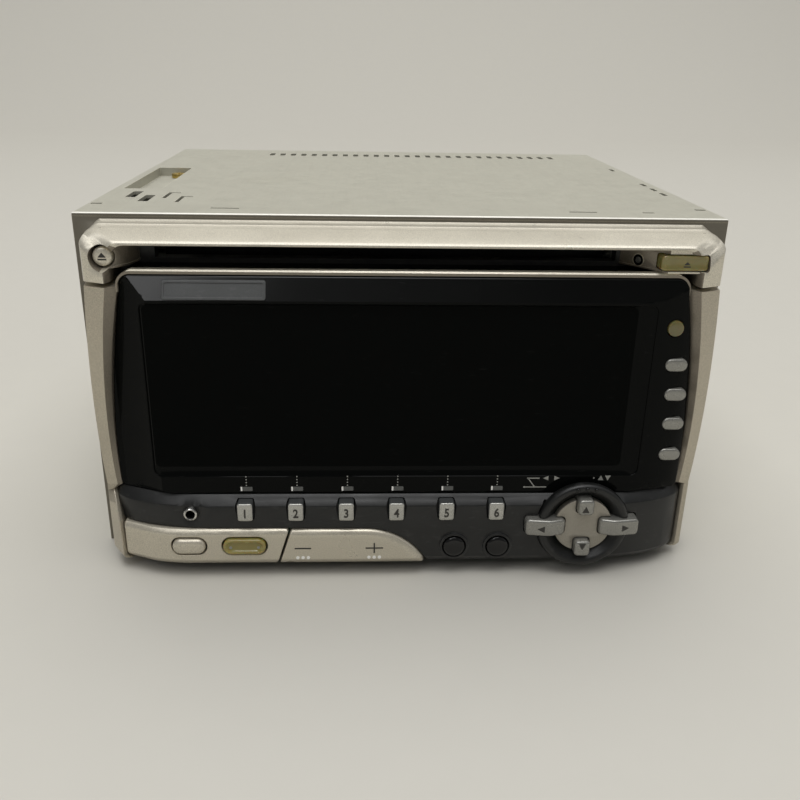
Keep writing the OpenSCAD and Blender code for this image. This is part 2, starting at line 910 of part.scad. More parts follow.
module drive_motors() color(chrome) {
    motor_x(drive_motor_r, drive_motor_x, gear_x[0], drive_y, drive_z);
    motor_x(loading_motor_r, [bracket_right - bracket_t - loading_motor_l, bracket_right - bracket_t],
        loading_x[1], loading_y, roller_z);
    stator(stator_r, slot_x, cd_y, deck_top);
    stator(cart_stator_r, 0, cart_y, cart_deck_top);
    rod_y(sled_motor_r, slot_x + rod_x_off, [deck_y[1], deck_y[1] + sled_motor_l], deck_top + rod_z_up);
    rod_y(sled_motor_r, cart_rod_x, [cart_deck_y[1], cart_deck_y[1] + sled_motor_l],
        cart_deck_top + cart_rod_up);
}

module drive_gear() color(white_plastic) difference() {
    beam(gear_x)
        translate([drive_y, drive_z])
            rotate(drive_turn + 180 - 180 / drive_teeth)
                polygon(gear_points(drive_teeth, door_module));
    rod_x(motor_shaft_r + run_gap, [gear_x[0] - past, gear_x[1] + past], drive_y, drive_z);
}

module deck_dampers() color(rubber)
    mirrored_x()
        for (y = damper_y)
            rod_z(damper_r, inner - damper_inset, y, [shelf_z, deck_z[0]]);

// A tab that stands on a deck and carries a rod along Y
module rod_tab(x, y, z, up, bore) difference() {
    block([x - tab_w / 2, x + tab_w / 2], [y, y + deck_t], [z - deck_t, z + tab_h]);
    rod_y(bore, x, [y - past, y + deck_t + past], z + up);
}

module cd_deck() color(steel) {
    difference() {
        block([-deck_half, deck_half], deck_y, deck_z);
        block([slot_x - pickup_half + tab_w, slot_x + pickup_half - tab_w],
            [tab_front + deck_t + past, deck_y[1] - tab_w], [deck_z[0] - past, deck_top + past]);
    }
    difference() {
        for (x = [[bracket_left - bracket_t, bracket_left], [bracket_right - bracket_t, bracket_right]])
            block(x, [deck_y[0] + past, loading_y + loading_motor_r], [deck_top, roller_z + bracket_rise]);
        rod_x(roller_shaft_r + run_gap, [bracket_left - bracket_t - past, bracket_right + past],
            roller_y, roller_z);
        rod_x(motor_shaft_r + run_gap, [bracket_right - bracket_t - past, bracket_right + past],
            loading_y, roller_z);
    }
    for (y = [tab_front, deck_y[1] - deck_t]) {
        rod_tab(slot_x + rod_x_off, y, deck_top, rod_z_up, rod_r + run_gap);
        rod_tab(slot_x - rod_x_off, y, deck_top, rod_z_up, rod_r);
    }
    for (s = [-1, 1])
        block([slot_x + s * post_x - post_t / 2, slot_x + s * post_x + post_t / 2],
            [arm_pivot_y - post_half, arm_pivot_y + post_half], [deck_top, arm_z[1] + post_rise]);
    rod_x(arm_pin_r, [slot_x - post_x, slot_x + post_x], arm_pivot_y, arm_mid);
}

module feed_roller() color(rubber) difference() {
    rod_x(roller_r, [slot_left, slot_right], roller_y, roller_z);
    rod_x(roller_shaft_r, [slot_left - past, slot_right + past], roller_y, roller_z);
}

module roller_shaft() color(chrome) {
    rod_x(roller_shaft_r, [bracket_left - bracket_t - past, loading_x[1]], roller_y, roller_z);
    beam(loading_x)
        translate([roller_y, roller_z])
            polygon(gear_points(roller_teeth, loading_module));
}

module loading_gear() color(white_plastic) difference() {
    beam(loading_x)
        translate([loading_y, roller_z])
            rotate(180 - 180 / loading_teeth)
                polygon(gear_points(loading_teeth, loading_module));
    rod_x(motor_shaft_r + run_gap, [loading_x[0] - past, loading_x[1] + past], loading_y, roller_z);
}

module cd_turntable() color(dark_grey) {
    low = deck_top + stator_h + table_gap;
    rod_z(table_r, slot_x, cd_y, [low, low + table_t]);
    rod_z(hub_r, slot_x, cd_y, [low, slot_mid + disc_half_t]);
    rod_z(spindle_r, slot_x, cd_y, [deck_top + sheet, low + table_t]);
}

module clamp_arm() color(steel) difference() {
    union() {
        block([slot_x - arm_half, slot_x + arm_half], [arm_y, arm_pivot_y], arm_z);
        rod_x(arm_barrel_r, [slot_x - arm_half, slot_x + arm_half], arm_pivot_y, arm_mid);
    }
    rod_x(arm_pin_r + run_gap, [slot_x - arm_half - past, slot_x + arm_half + past], arm_pivot_y, arm_mid);
    rod_z(puck_neck_r + turn_gap, slot_x, cd_y, [arm_z[0] - past, arm_z[1] + past]);
}

module clamp_puck() color(rubber) {
    rod_z(puck_r, slot_x, cd_y, puck_z);
    rod_z(puck_neck_r, slot_x, cd_y, [puck_z[0], arm_z[1] + turn_gap + puck_cap_t]);
    rod_z(puck_cap_r, slot_x, cd_y, [arm_z[1] + turn_gap, arm_z[1] + turn_gap + puck_cap_t]);
}

module pickup_sled(x, y, z, half, l, off, rod_up) difference() {
    union() {
        block([x - half, x + half], [y, y + l], z);
        rod_z(lens_bump_r, x, y + l / 3, [z[0], z[1] + lens_bump_h]);
    }
    for (s = [-1, 1])
        rod_y(rod_r + run_gap, x + s * off, [y - past, y + l + past], rod_up);
}

module cd_pickup() color(dark_grey)
    pickup_sled(slot_x, pickup_y, pickup_z, pickup_half, pickup_l, rod_x_off, deck_top + rod_z_up);

module cd_lead_screw() color(chrome)
    rod_y(rod_r, slot_x + rod_x_off, [tab_front, deck_y[1] - screw_play], deck_top + rod_z_up);

module guide_rods() color(chrome) {
    rod_y(rod_r, slot_x - rod_x_off, [tab_front, deck_y[1]], deck_top + rod_z_up);
    rod_y(rod_r, -cart_rod_x, [cart_tab_front, cart_deck_y[1]], cart_deck_top + cart_rod_up);
}

module md_deck() color(steel) {
    block([-inner, inner], cart_deck_y, cart_deck_z);
    mirrored_x() {
        block([inner - deck_t, inner], cart_deck_y, [cart_deck_z[0], cart_deck_top + cart_flange_h]);
        for (y = holder_pin_y)
            difference() {
                block([guide_x, guide_x + guide_t], [y - guide_w / 2, y + guide_w / 2],
                    [cart_deck_z[0], cart_mid + holder_pin_r + guide_rise]);
                block([guide_x - past, guide_x + guide_t + past],
                    [y - holder_pin_r - pin_slack, y + holder_pin_r + pin_slack],
                    [cart_mid - holder_drop - holder_pin_r - pin_slack, cart_mid + holder_pin_r + pin_slack]);
            }
    }
    for (y = [cart_tab_front, cart_deck_y[1] - deck_t]) {
        rod_tab(cart_rod_x, y, cart_deck_top, cart_rod_up, rod_r + run_gap);
        rod_tab(-cart_rod_x, y, cart_deck_top, cart_rod_up, rod_r);
    }
}

module md_holder() color(steel) {
    difference() {
        block([-holder_half, holder_half], holder_y, holder_z);
        block([-holder_half + holder_wall, holder_half - holder_wall],
            [holder_y[0] - past, holder_y[1] - holder_wall],
            [holder_z[0] + holder_wall, holder_z[1] - holder_wall]);
        block([-holder_half + holder_ledge, holder_half - holder_ledge],
            [holder_y[0] - past, holder_y[1] - holder_ledge],
            [holder_z[0] - past, holder_z[0] + holder_wall + past]);
    }
    mirrored_x()
        for (y = holder_pin_y)
            rod_x(holder_pin_r, [holder_half - holder_wall, guide_x + guide_t], y, cart_mid);
}

module md_turntable() color(dark_grey) {
    rod_z(cart_table_r, 0, cart_y, cart_table_z);
    rod_z(cart_hub_r, 0, cart_y, [cart_table_z[0], cart_table_z[1] + cart_hub_h]);
    rod_z(spindle_r, 0, cart_y, [cart_deck_top + sheet, cart_table_z[1]]);
}

module md_pickup() color(dark_grey)
    pickup_sled(0, cart_pickup_y, cart_pickup_z, cart_pickup_half, cart_pickup_l, cart_rod_x,
        cart_deck_top + cart_rod_up);

module md_lead_screw() color(chrome)
    rod_y(rod_r, cart_rod_x, [cart_tab_front, cart_deck_y[1] - screw_play], cart_deck_top + cart_rod_up);

// Door

// The lens seen from the front, grown by a margin
module lens_outline(grow) intersection() {
    mirrored_x()
        intersection() {
            translate([lens_half - lens_side_r, lens_side_z])
                circle(lens_side_r + grow, $fn = 360);
            mirror([1, 0])
                translate([lens_half - lens_side_r, lens_side_z])
                    circle(lens_side_r + grow, $fn = 360);
        }
    union() {
        translate([-nose_half, lens_low - grow])
            square([nose_w, shoulder - lens_low]);
        rounded_top(lens_edge(shoulder) + grow, lens_low - grow, lens_top + grow, lens_corner + grow);
    }
}

// One level of the right-hand trim as [x, y], from the inner back corner to the outer one
function trim_level(z) = [
    [lens_edge(z) + lens_gap, trim_back_y],
    [lens_edge(z) + lens_gap, trim_edge_y],
    [ridge_edge(z), ridge_y],
    [nose_half, trim_back_y],
];

// Faces of a loft through stacked rings of points, as triangles
function loft_faces(rings, points) = concat(
    [for (i = [1:points - 2]) [0, i, i + 1]],
    [for (r = [0:rings - 2], p = [0:points - 1], upper = [0, 1])
        let (a = r * points + p, b = r * points + (p + 1) % points)
        upper == 0 ? [a, a + points, b] : [b, a + points, b + points]],
    [for (i = [1:points - 2]) (rings - 1) * points * [1, 1, 1] + [0, i + 1, i]]);

module door_trim() {
    rings = 13;
    levels = [for (i = [0:rings - 1]) lens_low + (shoulder - lens_low) * i / (rings - 1)];
    polyhedron(
        points = [for (z = levels, p = trim_level(z)) [p[0], p[1], z]],
        faces = loft_faces(rings, len(trim_level(lens_low))));
}

// The door's edge wall seen from the front
module door_outline(grow) {
    rounded_foot(nose_half + grow, nose_low - grow, shoulder + grow, nose_corner + grow);
    rounded_top(rise_half + grow, shoulder - edge_t, door_top + grow, lens_corner + edge_t + grow);
}

module door_shell() color(silver) {
    mirrored_x()
        door_trim();
    // Edge wall behind the trims
    difference() {
        slab([trim_back_y, back_y])
            door_outline(0);
        block([-nose_half + wall_t, nose_half - wall_t], [trim_back_y - past, back_y + past],
            [nose_low - past, shoulder - edge_t]);
        slab([trim_back_y - past, back_y + past])
            rounded_top(lens_edge(shoulder), shoulder - 2 * edge_t, lens_top, lens_corner);
        beam([-nose_half - past, nose_half + past])
            polygon([
                [back_y, side_step],
                [trim_back_y, nose_low],
                [trim_back_y, nose_low - past],
                [back_y + past, nose_low - past],
                [back_y + past, side_step],
            ]);
    }
    // Rim round the top of the lens
    difference() {
        slab([lens_edge_y, trim_back_y])
            rounded_top(rise_half, shoulder - edge_t, door_top, lens_corner + edge_t);
        slab([lens_edge_y - past, trim_back_y + past])
            lens_outline(lens_gap);
    }
    // Lower ends of the trims
    intersection() {
        mirrored_x()
            tower([nose_low, lens_low])
                polygon([
                    [strip_end + lens_gap, trim_back_y],
                    [strip_end + lens_gap, strip_y + strip_bow * (1 - cos(bow_turn))],
                    [nose_half, trim_back_y],
                ]);
        slab([strip_y, back_y])
            door_outline(0);
    }
}

module door_back() color(dark_grey) {
    block([-nose_half + wall_t + turn_gap, nose_half - wall_t - turn_gap], [back_y - back_t, back_y],
        [back_step, shoulder - edge_t - turn_gap]);
    block([-back_narrow, back_narrow], [back_y - back_t, back_y], [back_low, back_step]);
    // Ears that turn on the hinge pins
    mirrored_x()
        difference() {
            beam(ear_x) {
                translate([hinge_y, hinge_z])
                    circle(ear_r);
                polygon([
                    [hinge_y, hinge_z - ear_r],
                    [back_y, hinge_z - ear_drop],
                    [back_y, arm_top],
                    [back_y - back_t, arm_top],
                    [back_y - back_t, hinge_z + ear_r + back_t],
                    [hinge_y, hinge_z + ear_r],
                ]);
            }
            rod_x(pin_r + run_gap, [ear_x[0] - past, ear_x[1] + past], hinge_y, hinge_z);
        }
    // Gear sector round the hinge
    beam(gear_x) {
        intersection() {
            translate([hinge_y, hinge_z])
                rotate(drive_turn)
                    polygon(gear_points(door_teeth, door_module));
            translate([hinge_y, hinge_z])
                polygon([
                    [0, 0],
                    [sector_cut * cos(sector_from), sector_cut * sin(sector_from)],
                    [sector_cut, 0],
                    [sector_cut * cos(sector_to), sector_cut * sin(sector_to)],
                ]);
        }
        polygon([
            [hinge_y, hinge_z],
            [back_y - back_t / 2, hinge_z + sector_web],
            [back_y, back_low + sector_web],
            [back_y - back_t, back_low + sector_web],
        ]);
    }
}

module side_key_holes(grow) {
    for (z = side_key_z)
        translate([lens_edge(z) - side_key_inset, z])
            pill(side_key_w + 2 * grow, side_key_h + 2 * grow);
    translate([lens_edge(program_z) - side_key_inset, program_z])
        circle(program_r + grow);
}

module display_lens() color(gloss_black) difference() {
    intersection() {
        slab([lens_y, lens_back_y])
            lens_outline(0);
        tower([lens_low, lens_top])
            polygon(concat(
                bow_line(lens_y, lens_bow),
                [[nose_half, lens_back_y], [-nose_half, lens_back_y]]));
        beam([-nose_half, nose_half])
            polygon([
                [lens_back_y, lens_low],
                [lens_y, lens_low],
                [lens_y, window_z[1] + past],
                [lens_edge_y, lens_top],
                [lens_back_y, lens_top],
            ]);
    }
    block(window_x, [lens_y - past, lens_y + window_depth], window_z);
    // Slanted right and lower edges of the window
    tower(window_z)
        polygon([
            [window_x[1] - window_bevel, lens_y + window_depth],
            [window_x[1] + window_bevel / 2, lens_y - past],
            [window_x[1] - window_bevel, lens_y - past],
        ]);
    block([window_x[0] - module_margin - lens_gap, window_x[1] + module_margin + lens_gap],
        [lens_y + window_depth + glass_t, lens_back_y + past],
        [window_z[0] - module_margin - lens_gap, window_z[1] + module_margin + lens_gap]);
    slab([lens_y - past, lens_back_y + past])
        side_key_holes(key_gap);
}

module display_module() color(dark_grey)
    block([window_x[0] - module_margin, window_x[1] + module_margin],
        [lens_y + window_depth + glass_t + lens_gap, board_y[0]],
        [window_z[0] - module_margin, window_z[1] + module_margin]);

// A switch on the keys' board
module tact(x, z)
    block([x - switch_w / 2, x + switch_w / 2], [switch_front, board_y[0]],
        [z - switch_w / 2, z + switch_w / 2]);

module key_board() color(board_green) {
    block([-nose_half + wall_t + turn_gap, nose_half - wall_t - turn_gap], board_y,
        [back_step, shoulder - edge_t - turn_gap]);
    block([drive_motor_x[0], back_narrow], board_y, [nose_low + edge_t + board_foot, back_step]);
    for (z = concat(side_key_z, [program_z]))
        tact(lens_edge(z) - side_key_inset, z);
    for (i = [0:5])
        tact(preset_first + i * preset_pitch, preset_z);
    for (x = concat(round_key_x, [sound_x + sound_stem, source_x]))
        tact(x, panel_key_z);
    for (s = [-1, 1]) {
        tact(dpad_x, dpad_z + s * vertical_rise);
        tact(s < 0 ? left_x : right_x, dpad_z);
    }
    // Post under the middle of the rocker
    block([rocker_mid - fulcrum_w, rocker_mid + fulcrum_w], [fulcrum_y + turn_gap, board_y[0]],
        [panel_key_z - fulcrum_w, panel_key_z + fulcrum_w]);
    // Post behind the disc key
    rod_y(stem_r, dpad_x, [switch_front, board_y[0]], dpad_z);
}

// Outlines of the lower left corner, grown by a margin
module panel_outline(grow) intersection() {
    polygon([
        [-nose_half, bottom_z - grow],
        [-nose_half, panel_top + grow],
        [rocker_left - seam + grow, panel_top + grow],
        [rocker_left - seam - seam_slant + grow, bottom_z - grow],
    ]);
    rounded_foot(strip_end + grow, bottom_z - grow, shoulder, strip_corner);
}

module rocker_outline(grow) intersection() {
    union() {
        polygon([
            [rocker_left - grow, rocker_top + grow],
            [rocker_turn_x, rocker_top + grow],
            [rocker_turn_x, bottom_z - grow],
            [rocker_left - seam_slant - grow, bottom_z - grow],
        ]);
        translate([rocker_turn_x, rocker_top - rocker_r])
            intersection() {
                circle(rocker_r + grow);
                square(2 * rocker_r);
            }
    }
    translate([-nose_half, bottom_z - grow])
        square([nose_w, shoulder]);
}

// A skin that follows the bowed front
module bowed_skin(y, low, high)
    tower([low, high])
        polygon(concat(bow_line(y, strip_bow), backwards(bow_line(y + skin_t, strip_bow))));

// Slope along the foot of the front
module foot_cut(y)
    beam([-nose_half, nose_half])
        polygon([
            [y - past, bottom_z - past],
            [y - past, bottom_z + foot_bevel[1] * (1 + past / foot_bevel[0])],
            [y + foot_bevel[0] * (1 + past / foot_bevel[1]), bottom_z - past],
        ]);

module preset_outline(i, grow)
    translate([preset_first + i * preset_pitch, preset_z])
        square([preset_w + 2 * grow, preset_h + 2 * grow], center = true);

module arrow_outline(x, grow)
    translate([x, dpad_z])
        square([arrow_l + 2 * grow, arrow_h + 2 * grow], center = true);

module vertical_outline(s, grow)
    translate([dpad_x, dpad_z + s * vertical_rise])
        square([arrow_w + 2 * grow, vertical_h + 2 * grow], center = true);

module button_strip() color(dark_grey) {
    through = [strip_y - past, strip_y + skin_t + strip_bow];
    difference() {
        intersection() {
            bowed_skin(strip_y, bottom_z, strip_top);
            slab(through)
                rounded_foot(strip_end, bottom_z, shoulder, strip_corner);
        }
        // Bevel along the top
        beam([-nose_half, nose_half])
            polygon([
                [strip_y + skin_t, strip_top],
                [strip_y - past, strip_top - strip_bevel - past * strip_bevel / skin_t],
                [strip_y - past, strip_top + past],
                [strip_y + skin_t, strip_top + past],
            ]);
        foot_cut(strip_y);
        slab(through) {
            panel_outline(seam / 2);
            rocker_outline(seam / 2);
            for (i = [0:5])
                preset_outline(i, key_gap);
            arrow_outline(left_x, key_gap);
            arrow_outline(right_x, key_gap);
            for (s = [-1, 1])
                vertical_outline(s, key_gap);
            translate([dpad_x, dpad_z])
                circle(disc_key_r + key_gap);
        }
        rod_y(ring_r + key_gap / 2, dpad_x, [strip_y - past, ring_back], dpad_z);
        for (x = round_key_x)
            rod_y(round_key_r + key_gap, x, through, round_key_z);
        rod_y(jack_ring_r, jack_x, through, jack_z);
        translate([jack_x, strip_y + jack_dish_depth, jack_z])
            rotate([90, 0, 0])
                cylinder(r1 = jack_ring_r, r2 = jack_dish_r, h = jack_dish_depth);
    }
    // Floor behind the strip, the lower panel and the rocker
    intersection() {
        tower([bottom_z, bottom_z + edge_t])
            polygon(bow_line(strip_y + skin_t - strip_inset, strip_bow));
        slab([strip_y, trim_back_y])
            rounded_foot(strip_end, bottom_z, shoulder, strip_corner);
    }
    for (x = round_key_x)
        difference() {
            rod_y(round_key_r + key_gap + collar_edge, x,
                [strip_y - collar_rise, strip_y + collar_sink], round_key_z);
            rod_y(round_key_r + key_gap, x, through, round_key_z);
        }
}

module lower_panel() color(silver) {
    through = [panel_y - past, panel_y + skin_t + strip_bow];
    difference() {
        intersection() {
            bowed_skin(panel_y, bottom_z, panel_top);
            slab(through)
                panel_outline(0);
        }
        foot_cut(panel_y);
        slab(through) {
            translate([sound_x, panel_key_z])
                pill(sound_w + 2 * key_gap, panel_key_h + 2 * key_gap);
            translate([source_x, panel_key_z])
                pill(source_w + 2 * key_gap, panel_key_h + 2 * key_gap);
        }
    }
}

module volume_rocker() color(silver) {
    difference() {
        intersection() {
            bowed_skin(panel_y, bottom_z, rocker_top);
            slab([panel_y - past, panel_y + skin_t + past])
                rocker_outline(0);
        }
        foot_cut(panel_y);
    }
    block([rocker_mid - fulcrum_w / 2, rocker_mid + fulcrum_w / 2], [panel_y + skin_t, fulcrum_y],
        [panel_key_z - fulcrum_w, panel_key_z + fulcrum_w]);
}

module dpad_ring() color(dark_grey) difference() {
    intersection() {
        translate([dpad_x, ring_back, dpad_z])
            rotate([90, 0, 0])
                rotate_extrude() {
                    width = ring_r - disc_key_r - key_gap;
                    height = ring_back - ring_y;
                    translate([disc_key_r + key_gap, 0])
                        square([width, height - ring_round]);
                    translate([disc_key_r + key_gap + ring_round, 0])
                        square([width - 2 * ring_round, height]);
                    for (r = [disc_key_r + key_gap + ring_round, ring_r - ring_round])
                        translate([r, height - ring_round])
                            circle(ring_round);
                }
        block([0, nose_half], [2 * ring_y, 0], [bottom_z, shoulder]);
    }
    slab([arrow_y, 0]) {
        arrow_outline(left_x, key_gap);
        arrow_outline(right_x, key_gap);
        for (s = [-1, 1])
            vertical_outline(s, key_gap);
    }
}

module mic_jack() color(chrome) difference() {
    rod_y(jack_ring_r, jack_x, jack_y, jack_z);
    rod_y(jack_bore_r, jack_x, [jack_y[0] - past, jack_y[1] - 1], jack_z);
}

// Keys on the door. A cap goes through the front, a flange stops it from coming out and
// a stem ends just short of its switch.

module key_stem(x, z, from)
    rod_y(stem_r, x, [from, stem_end], z);

module side_key(z, w, h) {
    x = lens_edge(z) - side_key_inset;
    slab([side_key_y, lens_back_y + turn_gap])
        translate([x, z])
            pill(w, h);
    slab([lens_back_y + turn_gap, lens_back_y + turn_gap + flange_t])
        translate([x, z])
            pill(w - 2 * key_gap, h + 2 * (key_gap + flange_edge));
    key_stem(x, z, lens_back_y + turn_gap);
}

module preset_key(i) {
    behind = strip_y + skin_t + turn_gap;
    slab([preset_y, behind])
        preset_outline(i, 0);
    slab([behind, behind + flange_t])
        preset_outline(i, key_gap + flange_edge);
    key_stem(preset_first + i * preset_pitch, preset_z, behind);
}

module round_key(x) {
    behind = strip_y + skin_t + turn_gap;
    rod_y(round_key_r, x, [round_key_y, behind], round_key_z);
    rod_y(round_key_r + key_gap + flange_edge, x, [behind, behind + flange_t], round_key_z);
    key_stem(x, round_key_z, behind);
}

module panel_key(x, w, stem_x) {
    behind = strip_y + skin_t + turn_gap;
    slab([panel_key_y, behind])
        translate([x, panel_key_z])
            pill(w, panel_key_h);
    key_stem(stem_x, panel_key_z, behind);
}

module arrow_key(x) {
    slab([arrow_y, arrow_back])
        arrow_outline(x, 0);
    key_stem(x, dpad_z, arrow_back);
}

module vertical_key(s) {
    slab([arrow_y, arrow_back])
        vertical_outline(s, 0);
    key_stem(dpad_x, dpad_z + s * vertical_rise, arrow_back);
}

module select_disc() color(silver) {
    difference() {
        rod_y(disc_key_r, dpad_x, [disc_key_y, ring_back - past], dpad_z);
        slab([disc_key_y - past, 0]) {
            arrow_outline(left_x, key_gap);
            arrow_outline(right_x, key_gap);
            for (s = [-1, 1])
                vertical_outline(s, key_gap);
        }
    }
    key_stem(dpad_x, dpad_z, disc_key_y + past);
}

module program_button() color(amber) side_key(program_z, 2 * program_r, 2 * program_r);
module display_button() color(silver) side_key(side_key_z[0], side_key_w, side_key_h);
module clock_button() color(silver) side_key(side_key_z[1], side_key_w, side_key_h);
module info_button() color(silver) side_key(side_key_z[2], side_key_w, side_key_h);
module escape_button() color(silver) side_key(side_key_z[3], side_key_w, side_key_h);
module preset_button_1() color(silver) preset_key(0);
module preset_button_2() color(silver) preset_key(1);
module preset_button_3() color(silver) preset_key(2);
module preset_button_4() color(silver) preset_key(3);
module preset_button_5() color(silver) preset_key(4);
module preset_button_6() color(silver) preset_key(5);
module function_button() color(gloss_black) round_key(round_key_x[0]);
module audio_button() color(gloss_black) round_key(round_key_x[1]);
module sound_button() color(silver) panel_key(sound_x, sound_w, sound_x + sound_stem);
module source_button() color(amber) panel_key(source_x, source_w, source_x);
module up_button() color(silver) vertical_key(1);
module down_button() color(silver) vertical_key(-1);
module left_button() color(silver) arrow_key(left_x);
module right_button() color(silver) arrow_key(right_x);

placed() chassis_pan();
placed() top_cover();
placed() rear_panel();
placed() heat_sink();
placed() rear_sockets();
placed() case_screws();
placed() front_frame();
placed() top_bezel();
placed() open_button();
placed() cd_eject_button();
placed() hinge_pins();
placed() main_board();
placed() drive_motors();
placed() drive_gear();
placed() deck_dampers();
placed() cd_deck();
placed() feed_roller();
placed() roller_shaft();
placed() loading_gear();
placed() cd_turntable();
placed() clamp_arm();
placed() clamp_puck();
placed() cd_pickup();
placed() cd_lead_screw();
placed() guide_rods();
placed() md_deck();
placed() md_holder();
placed() md_turntable();
placed() md_pickup();
placed() md_lead_screw();
placed() door_shell();
placed() door_back();
placed() display_lens();
placed() display_module();
placed() key_board();
placed() button_strip();
placed() lower_panel();
placed() dpad_ring();
placed() mic_jack();
placed() program_button();
placed() display_button();
placed() clock_button();
placed() info_button();
placed() escape_button();
placed() preset_button_1();
placed() preset_button_2();
placed() preset_button_3();
placed() preset_button_4();
placed() preset_button_5();
placed() preset_button_6();
placed() function_button();
placed() audio_button();
placed() sound_button();
placed() source_button();
placed() volume_rocker();
placed() up_button();
placed() down_button();
placed() left_button();
placed() right_button();
placed() select_disc();
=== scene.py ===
# %% [markdown]
# # Dressing a double-height car stereo
#
# The CAD model already has every piece in its place: a zinc-plated case, a silver bezel with a disc slot,
# and a motor-driven door with a black display and its keys. What solids leave out is what the eye reads
# first: soft moulded edges, crowned keys, metallic paint, gloss and wear. This lesson adds those, piece by
# piece.

# %% Load the solids
import math

import bmesh
import bpy
import numpy as np
from mathutils import Matrix, Vector, geometry


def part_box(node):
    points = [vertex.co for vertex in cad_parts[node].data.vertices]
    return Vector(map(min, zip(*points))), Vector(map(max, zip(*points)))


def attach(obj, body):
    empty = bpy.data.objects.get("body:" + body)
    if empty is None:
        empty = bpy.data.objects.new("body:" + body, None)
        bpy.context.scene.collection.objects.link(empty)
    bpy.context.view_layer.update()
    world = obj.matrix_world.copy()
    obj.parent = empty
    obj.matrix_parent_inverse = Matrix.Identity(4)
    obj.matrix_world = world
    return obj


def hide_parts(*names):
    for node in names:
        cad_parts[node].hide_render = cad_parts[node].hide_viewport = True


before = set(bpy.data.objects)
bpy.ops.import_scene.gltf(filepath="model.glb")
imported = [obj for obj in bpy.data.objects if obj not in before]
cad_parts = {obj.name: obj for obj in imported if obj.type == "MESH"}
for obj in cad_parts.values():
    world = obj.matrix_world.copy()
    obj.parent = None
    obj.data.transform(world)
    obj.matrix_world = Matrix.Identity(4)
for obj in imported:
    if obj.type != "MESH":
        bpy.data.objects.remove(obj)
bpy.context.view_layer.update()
MM = 0.001
CASE_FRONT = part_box("chassis_pan")[0].y

# %% [markdown]
# The camera looks from in front, a little left of the middle and above the lid, down by 22 degrees, with the
# horizon leaning by one degree. Its place is in millimetres from the middle of the case's front.

# %% Camera
EYE = (-12.28, -233.44, 140.74)
LOOK_DOWN, LEAN, TURN = 0.3843, 0.0198, -0.0501
FOCAL_PIXELS, FRAME_PIXELS, SENSOR = 858.26, 800, 36.0


def in_frame(x, y, z):
    """A point in millimetres, with y = 0 on the case's front plane, in the model's own frame."""
    return Vector((x * MM, CASE_FRONT + y * MM, z * MM))


def view_axes(down, lean, turn):
    """Right, forward and up of a camera, as the rows of a matrix."""
    yaw = Matrix(((math.cos(turn), math.sin(turn), 0), (-math.sin(turn), math.cos(turn), 0), (0, 0, 1)))
    pitch = Matrix(((1, 0, 0), (0, math.cos(down), -math.sin(down)), (0, math.sin(down), math.cos(down))))
    roll = Matrix(((math.cos(lean), 0, math.sin(lean)), (0, 1, 0), (-math.sin(lean), 0, math.cos(lean))))
    return roll @ pitch @ yaw


right, forward, up = view_axes(LOOK_DOWN, LEAN, TURN)
lens_data = bpy.data.cameras.new("photo_camera")
lens_data.sensor_width = SENSOR
lens_data.lens = SENSOR * FOCAL_PIXELS / FRAME_PIXELS
lens_data.clip_start = 0.005
camera = bpy.data.objects.new("photo_camera", lens_data)
camera.matrix_world = Matrix((right, up, -forward)).transposed().to_4x4()
camera.matrix_world.translation = in_frame(*EYE)
bpy.context.scene.collection.objects.link(camera)
bpy.context.scene.camera = camera
bpy.context.scene.view_settings.view_transform = "Standard"
print("camera lens", round(lens_data.lens, 2), "mm")

# %% [markdown]
# A finish is a principled shader whose colour, roughness and bump come from noise laid out in metres, so a
# grain of 0.2 mm is 0.2 mm on every piece. Image textures would need unwrapping, and would not scale with
# the part. These small helpers add one layer each, so that a finish reads like a painter's recipe.

# %% Helpers for finishes
def paint(red, green, blue):
    """A colour picked on a screen, 0 to 255, as the linear colour that a shader takes."""
    shares = [value / 255 for value in (red, green, blue)]
    return tuple(s / 12.92 if s <= 0.04045 else ((s + 0.055) / 1.055) ** 2.4 for s in shares)


def new_finish(name, colour, **sockets):
    """A material with one colour. Socket names are written with _ for a space."""
    material = bpy.data.materials.new(name)
    material.use_nodes = True
    shader = material.node_tree.nodes["Principled BSDF"]
    shader.inputs["Base Color"].default_value = (*colour, 1)
    for socket, value in sockets.items():
        shader.inputs[socket.replace("_", " ")].default_value = value
    return material


def grain(material, size, detail=3.0, stretch=(1, 1, 1)):
    """Noise whose lumps are about size millimetres across. Returns its value socket."""
    tree = material.node_tree
    place = tree.nodes.new("ShaderNodeTexCoord")
    mapping = tree.nodes.new("ShaderNodeMapping")
    mapping.inputs["Scale"].default_value = stretch
    noise = tree.nodes.new("ShaderNodeTexNoise")
    noise.inputs["Scale"].default_value = 0.5 / (size * MM)
    noise.inputs["Detail"].default_value = detail
    tree.links.new(place.outputs["Object"], mapping.inputs["Vector"])
    tree.links.new(mapping.outputs["Vector"], noise.inputs["Vector"])
    return noise.outputs["Fac"]


def span(material, value, low, high, to_low=0.0, to_high=1.0):
    """Maps a value from one range to another and holds it there."""
    node = material.node_tree.nodes.new("ShaderNodeMapRange")
    for socket, number in zip(("From Min", "From Max", "To Min", "To Max"), (low, high, to_low, to_high)):
        node.inputs[socket].default_value = number
    material.node_tree.links.new(value, node.inputs["Value"])
    return node.outputs["Result"]


def tint(material, mask, colour):
    """Paints colour over what the finish has so far, where mask is 1."""
    tree = material.node_tree
    base = tree.nodes["Principled BSDF"].inputs["Base Color"]
    mix = tree.nodes.new("ShaderNodeMix")
    mix.data_type = "RGBA"
    mix.inputs[6].default_value = base.default_value
    mix.inputs[7].default_value = (*colour, 1)
    if base.is_linked:
        tree.links.new(base.links[0].from_socket, mix.inputs[6])
    tree.links.new(mask, mix.inputs[0])
    tree.links.new(mix.outputs[2], base)


